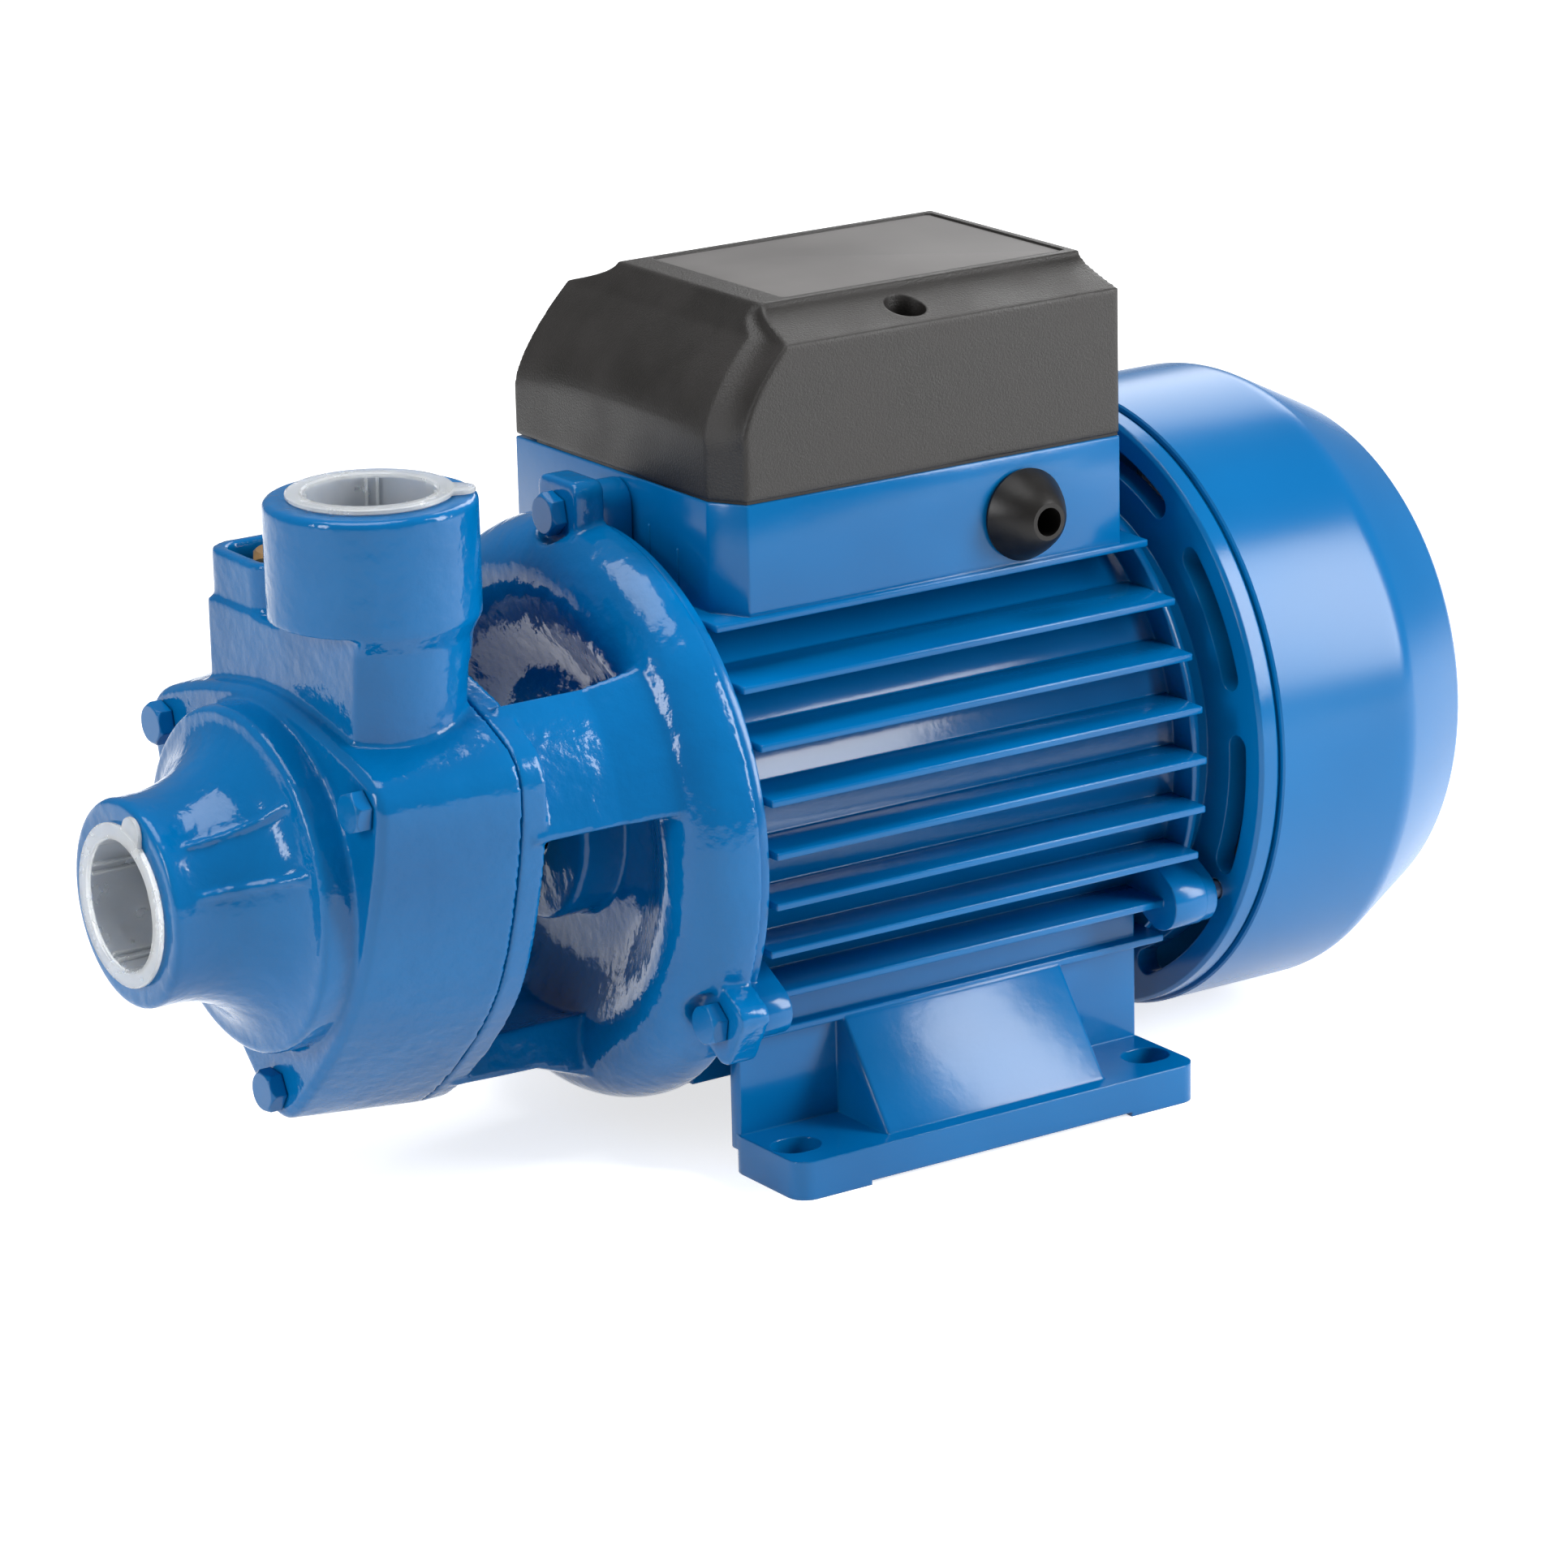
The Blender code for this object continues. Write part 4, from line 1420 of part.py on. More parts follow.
def main():
    clear_scene()
    cap_front = INLET_FACE_X - SEAT_GAP - CAP_LIP_THICKNESS
    root = empty("pump", location=(-0.5 * (cap_front + COVER_REAR_X), 0.0, AXIS_HEIGHT))
    rotor = empty("rotor_axis", root)
    inlet_guide = empty("inlet_axis", root, (INLET_FACE_X, 0.0, 0.0))
    inlet_guide.rotation_euler = (0.0, math.radians(-90.0), 0.0)
    outlet_guide = empty("outlet_axis", root, (TOP_PORT_X, -OUTLET_OFFSET, OUTLET_TOP))
    plug_guide = empty("priming_axis", root, (TOP_PORT_X, TOWER_OFFSET, 0.0))
    make_pump_body(root)
    make_body_o_ring(root)
    make_caps(inlet_guide, outlet_guide)
    make_priming_plug(plug_guide)
    body_bolt_length = BODY_DEPTH + FLANGE_THICKNESS + BODY_BOLT_GRIP
    make_ring_of_bolts(root, "pump_body_bolt", BODY_FRONT_X - SEAT_GAP, body_bolt_length,
                       BODY_BOLT_PITCH_RADIUS, BOLT_ANGLES)
    make_motor_bracket(root)
    ear_bolt_length = EAR_DEPTH + FRONT_LUG_LENGTH - 2.0 * SEAT_GAP
    make_ring_of_bolts(root, "bracket_bolt", RIM_X - EAR_DEPTH - SEAT_GAP, ear_bolt_length,
                       EAR_PITCH_RADIUS, EAR_ANGLES)
    make_motor_housing(root)
    make_terminal_box_lid(root)
    make_terminal_box_inside(root)
    make_lid_screws(root)
    make_cable_grommet(root)
    make_rear_end_shield(root)
    make_shield_screws(root)
    make_fan_cover(root)
    make_bearing("front_bearing", FRONT_BEARING_X, FRONT_BEARING_BORE, FRONT_BEARING_RADIUS,
                 FRONT_BEARING_WIDTH, root, rotor)
    make_bearing("rear_bearing", REAR_BEARING_X, REAR_BEARING_BORE, REAR_BEARING_RADIUS,
                 REAR_BEARING_WIDTH, root, rotor)
    make_wave_spring(root)
    make_stator(root)
    make_shaft(rotor)
    make_impeller(rotor)
    make_shaft_seal(root, rotor)
    make_rotor_core(rotor)
    make_cooling_fan(rotor)


main()
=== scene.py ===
"""Looks of the water pump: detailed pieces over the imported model, materials, light and camera.

Pieces are drawn in millimetres round the shaft, with x = 0 at the joint between pump body and
bracket, and are moved to the model's own place at the end.
"""

import math

import bmesh
import bpy
from mathutils import Matrix, Vector


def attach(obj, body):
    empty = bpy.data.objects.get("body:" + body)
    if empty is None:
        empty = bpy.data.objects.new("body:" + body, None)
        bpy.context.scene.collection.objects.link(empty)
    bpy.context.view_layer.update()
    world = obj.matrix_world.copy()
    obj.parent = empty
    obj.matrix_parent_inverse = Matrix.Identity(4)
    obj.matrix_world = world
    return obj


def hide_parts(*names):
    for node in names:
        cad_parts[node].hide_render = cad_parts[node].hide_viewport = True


MM = 0.001
MIDDLE_X = 90.35
AXIS_HEIGHT = 75.0
SMOOTH_ANGLE = math.radians(32.0)

# Segments of round forms, from the finest down to a hexagon
FINE = 128
ROUND = 64
MEDIUM = 48
FAIR = 32
SMALL = 24
HEX = 6

# Bolt circles about the shaft, as angles and distances, and their holes
BOLT_ANGLES = (30.0, 150.0, 270.0)
EAR_ANGLES = (90.0, 210.0, 330.0)
BODY_PITCH = 48.7
EAR_PITCH = 67.5
SHIELD_PITCH = 64.0
BOLT_HOLE = 3.4
SCREW_HOLE = 2.4

# Pump body and bracket
FLANGE_CORE = 46.0
FLANGE_LOBE = 10.0
LOBE_BLEND = 20.0
INLET_FACE = -67.0
OUTLET_PLACE = (-14.8, -20.0, 0.0)
OUTLET_TOP = 84.6
PLUG_PLACE = (-14.8, 17.0, 0.0)
PORT_RIM = 22.8
PORT_BORE = 15.2
NOZZLE_RIBS = (137.0, 165.0)
EAR_FRONT = 43.5

# Motor housing
FIN_TIP = 65.5
FIN_FRONT = 55.3
FIN_REAR = 171.2
FIN_PITCH = 11.45
FIN_TOP = 48.4
FIN_LEVELS = 9
BOTTOM_FINS = 6
FOOT_INNER = 42.5
FOOT_OUTER = 69.7
FOOT_SOLE = -75.0
FOOT_TOP = -66.2

# Terminal box, and the arched slope at the front of its lid
BOX_FRONT = 59.8
BOX_REAR = 164.5
BOX_HALF = 42.8
CORNER_X = 5.0
CORNER_Y = 8.3
GROMMET_PLACE = (137.7, 0.0, 60.4)
LID_SCREW_X = 112.15
LID_SCREW_Y = 35.2
SLOPE_FOOT = 85.9
SLOPE_ARCH = 3.4
SLOPE_TOP = 107.3
SLOPE_RUN = 14.8
SLOPE_POWER = 1.5

# Rear shield and fan cover
SHIELD_FRONT = 181.3
SHIELD_REAR = 186.7
COVER_FRONT = 187.0
COVER_REAR = 249.2
COVER_RADIUS = 73.0
COVER_WALL = 1.5

# Casting marks on the front of the terminal box, as distance across, foot and top
FRONT_MARKS = ((-11.5, 55.5, 64.4), (-22.6, 51.5, 61.2))

# Camera fitted to the photograph, in the model's frame
CAMERA_PLACE = (-0.75182, -1.13610, 0.48634)
CAMERA_RIGHT = (0.82629, -0.56281, -0.02194)
CAMERA_UP = (0.18128, 0.22903, 0.95638)
CAMERA_BACK = (-0.53332, -0.79422, 0.29116)
CAMERA_LENS = 145.54
AMBIENT = 0.24
FLOOR_GLOW = 0.72


def solid(points, faces):
    """Object from points and faces, with the faces pointing out."""
    mesh = bpy.data.meshes.new("piece")
    shape = bmesh.new()
    corners = [shape.verts.new(point) for point in points]
    for face in faces:
        shape.faces.new([corners[index] for index in face])
    bmesh.ops.recalc_face_normals(shape, faces=shape.faces)
    shape.to_mesh(mesh)
    shape.free()
    item = bpy.data.objects.new("piece", mesh)
    bpy.context.scene.collection.objects.link(item)
    return item


def along(axis, height, across, up):
    """Point from a height along an axis and the two distances beside it."""
    if axis == "X":
        return (height, across, up)
    if axis == "Y":
        return (up, height, across)
    return (across, up, height)


def lathe(profile, axis="X", centre=(0.0, 0.0, 0.0), segments=FINE):
    """Profile of (height, radius) points turned once round an axis."""
    filled = profile[0][1] == 0.0
    levels = [point for point in profile if point[1] > 0.0]
    points = []
    for height, radius in levels:
        for step in range(segments):
            angle = 2.0 * math.pi * step / segments
            local = along(axis, height, radius * math.cos(angle), radius * math.sin(angle))
            points.append(Vector(local) + Vector(centre))
    faces = []
    if filled:
        faces.append(list(range(segments)))
        faces.append(list(range(len(points) - segments, len(points))))
    for level in range(len(levels) - 1 if filled else len(levels)):
        low = level * segments
        high = (level + 1) % len(levels) * segments
        for step in range(segments):
            after = (step + 1) % segments
            faces.append([low + step, low + after, high + after, high + step])
    return solid(points, faces)


def rod(radius, low, high, axis="X", centre=(0.0, 0.0, 0.0), segments=ROUND):
    return lathe([(low, 0.0), (low, radius), (high, radius), (high, 0.0)], axis, centre, segments)


def sector(profile, start, end, steps):
    """Profile of (height, radius) points turned about the shaft from one angle to another."""
    points = []
    for step in range(steps + 1):
        angle = math.radians(start + (end - start) * step / steps)
        for height, radius in profile:
            points.append((height, radius * math.cos(angle), radius * math.sin(angle)))
    count = len(profile)
    faces = [list(range(count)), list(range(steps * count, (steps + 1) * count))]
    for step in range(steps):
        for index in range(count):
            after = (index + 1) % count
            low = step * count
            faces.append([low + index, low + after, low + count + after, low + count + index])
    return solid(points, faces)


def loft(rings):
    """Closed solid through rings of equally many points."""
    count = len(rings[0])
    points = [point for ring in rings for point in ring]
    faces = [list(range(count)), list(range(len(points) - count, len(points)))]
    for level in range(len(rings) - 1):
        low = level * count
        for index in range(count):
            after = (index + 1) % count
            faces.append([low + index, low + after, low + count + after, low + count + index])
    return solid(points, faces)


def prism(outline, low, high, axis):
    """Outline drawn out along an axis."""
    return loft([[along(axis, level, u, v) for u, v in outline] for level in (low, high)])


def box(low, high):
    """Block between two corners."""
    outline = [(low[1], low[2]), (high[1], low[2]), (high[1], high[2]), (low[1], high[2])]
    return prism(outline, low[0], high[0], "X")


def polar(radius, degrees):
    """Point at a distance and an angle."""
    return (radius * math.cos(math.radians(degrees)), radius * math.sin(math.radians(degrees)))


def rounded(low, high, radius, steps=6):
    """Rectangle with round corners."""
    outline = []
    corners = ((high[0] - radius, high[1] - radius, 0.0), (low[0] + radius, high[1] - radius, 90.0),
               (low[0] + radius, low[1] + radius, 180.0), (high[0] - radius, low[1] + radius, 270.0))
    for x, y, start in corners:
        for step in range(steps + 1):
            across, up = polar(radius, start + 90.0 * step / steps)
            outline.append((x + across, y + up))
    return outline


def applied(item):
    """Bake an item's modifiers into its mesh."""
    graph = bpy.context.evaluated_depsgraph_get()
    mesh = bpy.data.meshes.new_from_object(item.evaluated_get(graph))
    item.modifiers.clear()
    item.data = mesh
    return item


def combine(base, pieces, operation):
    """Join pieces to a base, or cut them from it, one by one."""
    for piece in pieces:
        modifier = base.modifiers.new("combine", "BOOLEAN")
        modifier.operation = operation
        modifier.solver = "EXACT"
        modifier.object = piece
        applied(base)
        bpy.data.objects.remove(piece, do_unlink=True)
    return base


def join(base, *pieces):
    return combine(base, pieces, "UNION")


def cut(base, *pieces):
    return combine(base, pieces, "DIFFERENCE")


def gather(*pieces):
    """Put pieces into one object, as they are."""
    shape = bmesh.new()
    for piece in pieces:
        shape.from_mesh(piece.data)
    mesh = bpy.data.meshes.new("piece")
    shape.to_mesh(mesh)
    shape.free()
    for piece in pieces:
        bpy.data.objects.remove(piece, do_unlink=True)
    item = bpy.data.objects.new("piece", mesh)
    bpy.context.scene.collection.objects.link(item)
    return item


def cast(item, voxel, rounds):
    """Melt an item's edges together as a casting's fillets do."""
    remesh = item.modifiers.new("remesh", "REMESH")
    remesh.mode = "VOXEL"
    remesh.voxel_size = voxel
    smooth = item.modifiers.new("smooth", "SMOOTH")
    smooth.factor = 0.5
    smooth.iterations = rounds
    return applied(item)


def eased(item, width, segments=2, angle=30.0):
    """Round off the sharp edges of a clean solid."""
    shape = bmesh.new()
    shape.from_mesh(item.data)
    edges = [edge for edge in shape.edges
             if len(edge.link_faces) == 2 and edge.calc_face_angle() > math.radians(angle)]
    bmesh.ops.bevel(shape, geom=edges, offset=width, segments=segments, profile=0.5, affect="EDGES",
                    clamp_overlap=True)
    shape.to_mesh(item.data)
    shape.free()
    return item


def settle(item, name, body, finish, nodes):
    """Move a piece to the model's place, name it, paint it and let it stand for CAD nodes."""
    move = Matrix.Translation((-MIDDLE_X * MM, 0.0, AXIS_HEIGHT * MM)) @ Matrix.Scale(MM, 4)
    item.data.transform(move)
    item.data.shade_smooth()
    item.data.set_sharp_from_angle(angle=SMOOTH_ANGLE)
    item.name = name
    item.data.materials.clear()
    item.data.materials.append(finish)
    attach(item, body)
    if nodes:
        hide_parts(*nodes)
    return item


# Materials


def new_material(name):
    paint = bpy.data.materials.new(name)
    paint.use_nodes = True
    return paint, paint.node_tree.nodes, paint.node_tree.links


def noise(nodes, links, place, scale, detail=3.0, roughness=0.5):
    node = nodes.new("ShaderNodeTexNoise")
    node.inputs["Scale"].default_value = scale
    node.inputs["Detail"].default_value = detail
    node.inputs["Roughness"].default_value = roughness
    links.new(place, node.inputs["Vector"])
    return node.outputs["Fac"]


def ramp(nodes, links, value, stops):
    node = nodes.new("ShaderNodeValToRGB")
    while len(node.color_ramp.elements) < len(stops):
        node.color_ramp.elements.new(0.5)
    for element, (position, colour) in zip(node.color_ramp.elements, stops):
        element.position = position
        element.color = colour
    links.new(value, node.inputs["Fac"])
    return node.outputs["Color"]


def bump(nodes, links, height, distance, strength, normal=None):
    node = nodes.new("ShaderNodeBump")
    node.inputs["Strength"].default_value = strength
    node.inputs["Distance"].default_value = distance
    links.new(height, node.inputs["Height"])
    if normal is not None:
        links.new(normal, node.inputs["Normal"])
    return node.outputs["Normal"]


def grey(value):
    return (value, value, value, 1.0)


def surface(name, dark, light, rough_low, rough_high, patches, bumps, metallic=0.0, gloss=0.3, edge=0.0):
    """Material with drifting colour and roughness and layers of bump as (scale, height, strength)."""
    paint, nodes, links = new_material(name)
    shader = nodes["Principled BSDF"]
    place = nodes.new("ShaderNodeTexCoord").outputs["Object"]
    drift = noise(nodes, links, place, patches)
    links.new(ramp(nodes, links, drift, ((0.3, dark), (0.7, light))), shader.inputs["Base Color"])
    roughness = ramp(nodes, links, drift, ((0.3, grey(rough_low)), (0.7, grey(rough_high))))
    links.new(roughness, shader.inputs["Roughness"])
    shader.inputs["Specular IOR Level"].default_value = gloss
    shader.inputs["Metallic"].default_value = metallic
    normal = None
    if edge > 0.0:
        node = nodes.new("ShaderNodeBevel")
        node.samples = 6
        node.inputs["Radius"].default_value = edge
        normal = node.outputs["Normal"]
    for scale, height, strength in bumps:
        normal = bump(nodes, links, noise(nodes, links, place, scale), height, strength, normal)
    links.new(normal, shader.inputs["Normal"])
    return paint


def make_materials():
    """Finishes by short name. Bump layers are finest last."""
    blue_dark = (0.0, 0.106, 0.305, 1.0)
    blue_light = (0.0, 0.148, 0.405, 1.0)
    return {
        "cast": surface("cast_blue_paint", blue_dark, blue_light, 0.08, 0.15, 22.0,
                        ((60.0, 0.0016, 0.26), (240.0, 0.0008, 0.28), (900.0, 0.0001, 0.20)),
                        edge=0.0006),
        "smooth": surface("smooth_blue_paint", blue_dark, blue_light, 0.12, 0.20, 16.0,
                          ((180.0, 0.0003, 0.18), (1100.0, 0.00006, 0.15)), edge=0.0006),
        "sheet": surface("pressed_blue_paint", blue_dark, blue_light, 0.20, 0.27, 9.0,
                         ((60.0, 0.0003, 0.06), (1800.0, 0.00003, 0.10))),
        "lid": surface("black_lid_plastic", (0.011, 0.010, 0.009, 1.0), (0.020, 0.018, 0.017, 1.0),
                       0.36, 0.50, 60.0, ((2300.0, 0.00022, 0.55), (6000.0, 0.0001, 0.50)),
                       gloss=0.45, edge=0.0007),
        "bed": surface("bare_label_bed", (0.110, 0.106, 0.105, 1.0), (0.170, 0.165, 0.163, 1.0),
                       0.52, 0.64, 25.0, ((2600.0, 0.00003, 0.25),), gloss=0.2),
        "rubber": surface("black_rubber", (0.006, 0.005, 0.005, 1.0), (0.012, 0.011, 0.010, 1.0),
                          0.34, 0.50, 90.0, ((900.0, 0.0001, 0.25),)),
        "brass": surface("brass", (0.50, 0.29, 0.12, 1.0), (0.66, 0.42, 0.20, 1.0),
                         0.30, 0.45, 120.0, ((800.0, 0.0001, 0.2),), metallic=0.9),
        "green": surface("green_washer", (0.010, 0.12, 0.05, 1.0), (0.02, 0.18, 0.08, 1.0),
                         0.5, 0.6, 200.0, ((1500.0, 0.0001, 0.2),)),
        "steel": surface("turned_steel", (0.42, 0.43, 0.45, 1.0), (0.58, 0.59, 0.61, 1.0),
                         0.25, 0.40, 80.0, ((1600.0, 0.00005, 0.2),), metallic=1.0),
        "core": surface("lamination_steel", (0.16, 0.16, 0.17, 1.0), (0.26, 0.26, 0.28, 1.0),
                        0.45, 0.6, 150.0, ((2000.0, 0.0001, 0.3),), metallic=0.9),
        "copper": surface("winding_copper", (0.38, 0.13, 0.05, 1.0), (0.55, 0.22, 0.09, 1.0),
                          0.35, 0.5, 300.0, ((700.0, 0.0003, 0.4),), metallic=0.7),
        "aluminium": surface("die_cast_aluminium", (0.55, 0.56, 0.57, 1.0), (0.70, 0.71, 0.72, 1.0),
                             0.35, 0.5, 90.0, ((1200.0, 0.0001, 0.3),), metallic=1.0),
        "ceramic": surface("seal_ceramic", (0.76, 0.75, 0.71, 1.0), (0.86, 0.85, 0.81, 1.0),
                           0.2, 0.3, 150.0, ((2200.0, 0.00003, 0.2),)),
        "grey": surface("grey_plastic", (0.20, 0.21, 0.22, 1.0), (0.28, 0.29, 0.30, 1.0),
                        0.45, 0.55, 120.0, ((1500.0, 0.0001, 0.3),)),
        "cap": make_cap_plastic(),
    }


def make_cap_plastic():
    """Milky see-through polythene."""
    paint, nodes, links = new_material("clear_cap_plastic")
    shader = nodes["Principled BSDF"]
    place = nodes.new("ShaderNodeTexCoord").outputs["Object"]
    drift = noise(nodes, links, place, 160.0)
    links.new(ramp(nodes, links, drift, ((0.3, (0.86, 0.90, 0.93, 1.0)), (0.7, (0.95, 0.97, 0.98, 1.0)))),
              shader.inputs["Base Color"])
    links.new(ramp(nodes, links, drift, ((0.3, grey(0.16)), (0.7, grey(0.30)))), shader.inputs["Roughness"])
    shader.inputs["Transmission Weight"].default_value = 0.70
    shader.inputs["IOR"].default_value = 1.30
    links.new(bump(nodes, links, noise(nodes, links, place, 300.0), 0.0001, 0.08), shader.inputs["Normal"])
    return paint


# Pump body


def lobed_reach(core, lobe, angle):
    """Distance from the shaft to the tangent at an angle, with the lobes blended into the core."""
    total = core ** LOBE_BLEND
    for bolt in BOLT_ANGLES:
        side = BODY_PITCH * math.cos(math.radians(angle - bolt)) + lobe
        total += max(side, 0.0) ** LOBE_BLEND
    return total ** (1.0 / LOBE_BLEND)


def lobed_outline(core, lobe, points=240):
    """Round outline with a lobe at each bolt."""
    outline = []
    small = 0.05
    for step in range(points):
        angle = 360.0 * step / points
        out = lobed_reach(core, lobe, angle)
        change = lobed_reach(core, lobe, angle + small) - lobed_reach(core, lobe, angle - small)
        along_edge = change / math.radians(2.0 * small)
        y, z = polar(out, angle)
        across, up = polar(along_edge, angle + 90.0)
        outline.append((y + across, z + up))
    return outline


def lobed_ring(x, core, lobe):
    """Lobed outline as a ring of points across the shaft."""
    return [(x, y, z) for y, z in lobed_outline(core, lobe)]


def nozzle():
    """Trumpet of the inlet, widening from its collar to the raised ring."""
    collar = INLET_FACE + 6.0
    ring_x = -40.5
    ring_r = 38.0
    flare = 14.2
    root = -16.0
    profile = [(INLET_FACE, 0.0), (INLET_FACE, 22.0), (INLET_FACE + 0.8, PORT_RIM)]
    steps = 20
    for step in range(steps + 1):
        angle = 0.5 * math.pi * step / steps
        x = collar + (ring_x - collar) * math.sin(angle)
        profile.append((x, PORT_RIM + flare * (1.0 - math.cos(angle))))
    profile += [(ring_x + 1.0, ring_r), (root, ring_r), (root, 0.0)]
    return lathe(profile)


def nozzle_rib(angle):
    """Low casting rib along the trumpet."""
    front = -61.0
    rear = -40.0
    root = 20.0
    half = 1.5
    profile = [(front, root), (front, 23.6), (-52.0, 25.0), (-46.0, 28.6), (-42.0, 33.5), (rear, 35.0),
               (rear, root)]
    return sector(profile, angle - half, angle + half, 2)


def outlet_stack():
    """Outlet boss on its neck, trimmed to the thickness of the casing below the boss."""
    foot = 26.0
    profile = [(foot, 0.0), (foot, 17.7), (55.2, 20.6), (59.4, PORT_RIM), (83.8, PORT_RIM),
               (OUTLET_TOP, 22.0), (OUTLET_TOP, 0.0)]
    stack = lathe(profile, "Z", OUTLET_PLACE)
    join(stack, box((-32.5, -20.0, foot), (-3.0, 28.0, 55.0)))
    front_trim = box((-90.0, -70.0, -75.0), (-28.7, 70.0, 59.3))
    rear_trim = box((-0.5, -70.0, -75.0), (60.0, 70.0, 49.0))
    return cut(stack, front_trim, rear_trim)


def make_pump_body(paint):
    """Casing with its nozzle, outlet and tower, then the bores, which stay sharp."""
    body = loft([lobed_ring(-32.5, 39.0, 5.5), lobed_ring(-31.0, 40.5, 7.0),
                 lobed_ring(0.0, FLANGE_CORE, FLANGE_LOBE)])
    tower = prism(rounded((-28.0, 3.8), (-2.1, 30.2), 6.0), 23.0, 66.0, "Z")
    join(body, tower, outlet_stack(), nozzle())
    for angle in NOZZLE_RIBS:
        join(body, nozzle_rib(angle))
    pocket = prism(rounded((-25.0, 6.8), (-5.1, 27.2), 4.0), 55.0, 90.0, "Z")
    cut(body, pocket)
    cast(body, 0.6, 4)
    chamber = -12.0
    passage = 29.2
    cut(body, rod(PORT_BORE, -90.0, -47.0, segments=FINE), rod(12.5, -60.0, -11.4),
        rod(36.5, chamber, 30.0, segments=FINE), rod(PORT_BORE, 64.6, 120.0, "Z", OUTLET_PLACE, FINE),
        rod(11.0, passage, 80.0, "Z", OUTLET_PLACE), rod(7.2, passage, 60.0, "Z", PLUG_PLACE))
    for angle in BOLT_ANGLES:
        y, z = polar(BODY_PITCH, angle)
        cut(body, rod(BOLT_HOLE, -60.0, 30.0, centre=(0.0, y, z), segments=SMALL))
    settle(body, "cast_pump_body", "pump", paint["cast"], ["pump_body"])


# Caps


def make_cap(name, node, body, paint, place):
    """Thin cup with a lip, a pull tab, ribs in pairs and a moulding nub."""
    lip = 1.5
    lip_r = 17.9
    base = 0.3
    floor = base - 14.0
    inside = floor + 1.1
    profile = [(floor, 0.0), (floor, 13.8), (floor + 1.0, 14.7), (base, 14.8), (base, lip_r - 0.3),
               (base + 0.3, lip_r), (lip - 0.3, lip_r), (lip, lip_r - 0.3), (lip, 14.6), (lip - 0.4, 14.2),
               (inside, 14.0), (inside, 0.0)]
    pieces = [lathe(profile, "Z")]
    tab_root = 16.0
    tab_half = 4.4
    tab = [(tab_root, tab_half)]
    for step in range(13):
        across, up = polar(3.6, 90.0 - 15.0 * step)
        tab.append((18.6 + across, up))
    tab.append((tab_root, -tab_half))
    pieces.append(eased(prism(tab, base + 0.05, lip - 0.05, "Z"), 0.25))
    rib_half = 0.35
    for pair in range(4):
        for shift in (-5.0, 5.0):
            angle = math.radians(90.0 * pair + shift)
            rib = eased(box((13.3, -rib_half, floor + 1.0), (14.3, rib_half, lip - 1.0)), 0.15)
            rib.data.transform(Matrix.Rotation(angle, 4, "Z"))
            pieces.append(rib)
    nub_low = floor + 1.0
    nub_high = floor + 2.2
    nub = [(nub_low, 0.0), (nub_low, 1.4), (nub_high, 1.0), (nub_high, 0.0)]
    pieces.append(lathe(nub, "Z", segments=SMALL))
    cap = gather(*pieces)
    cap.data.transform(place)
    settle(cap, name, body, paint["cap"], [node])


def make_caps(paint):
    """Both caps, each with its tab turned to where the photograph shows it."""
    outlet_place = (OUTLET_PLACE[0], OUTLET_PLACE[1], OUTLET_TOP)
    outlet = Matrix.Translation(outlet_place) @ Matrix.Rotation(math.radians(-32.0), 4, "Z")
    make_cap("clear_outlet_cap", "outlet_cap", "outlet_plug_cap", paint, outlet)
    inlet = Matrix.Translation((INLET_FACE, 0.0, 0.0)) @ Matrix.Rotation(math.radians(-90.0), 4, "Y")
    inlet = inlet @ Matrix.Rotation(math.radians(-20.0), 4, "Z")
    make_cap("clear_inlet_cap", "inlet_cap", "inlet_plug_cap", paint, inlet)


# Bolts


def hex_bolt(length):
    """Hex bolt along +x with a chamfered head."""
    half_flats = 4.2
    top = -4.2
    corner = half_flats / math.cos(math.pi / HEX)
    clear = corner + 0.3
    crown = lathe([(top, 0.0), (top, 3.2), (-3.6, 4.1), (-2.4, clear), (1.0, clear), (1.0, 0.0)],
                  segments=MEDIUM)
    head = lathe([(-3.6, 0.0), (-3.6, corner), (0.0, corner), (0.0, 0.0)], segments=HEX)
    combine(head, [crown], "INTERSECT")
    return gather(head, rod(3.0, -1.0, length, segments=SMALL))


def make_bolts(paint):
    """Both sets of bolts, each head turned differently, as hands leave them."""
    sets = (("pump_body_bolt", -32.8, 42.5, BODY_PITCH, BOLT_ANGLES),
            ("bracket_bolt", 43.2, 15.1, EAR_PITCH, EAR_ANGLES))
    for name, head_x, length, pitch, angles in sets:
        for index, angle in enumerate(angles):
            bolt = hex_bolt(length)
            y, z = polar(pitch, angle)
            turn = Matrix.Rotation(math.radians(17.0 + 23.0 * index), 4, "X")
            bolt.data.transform(Matrix.Translation((head_x, y, z)) @ turn)
            node = name + "_" + str(index + 1)
            settle(bolt, "painted_" + node, "pump", paint["smooth"], [node])


# Bracket


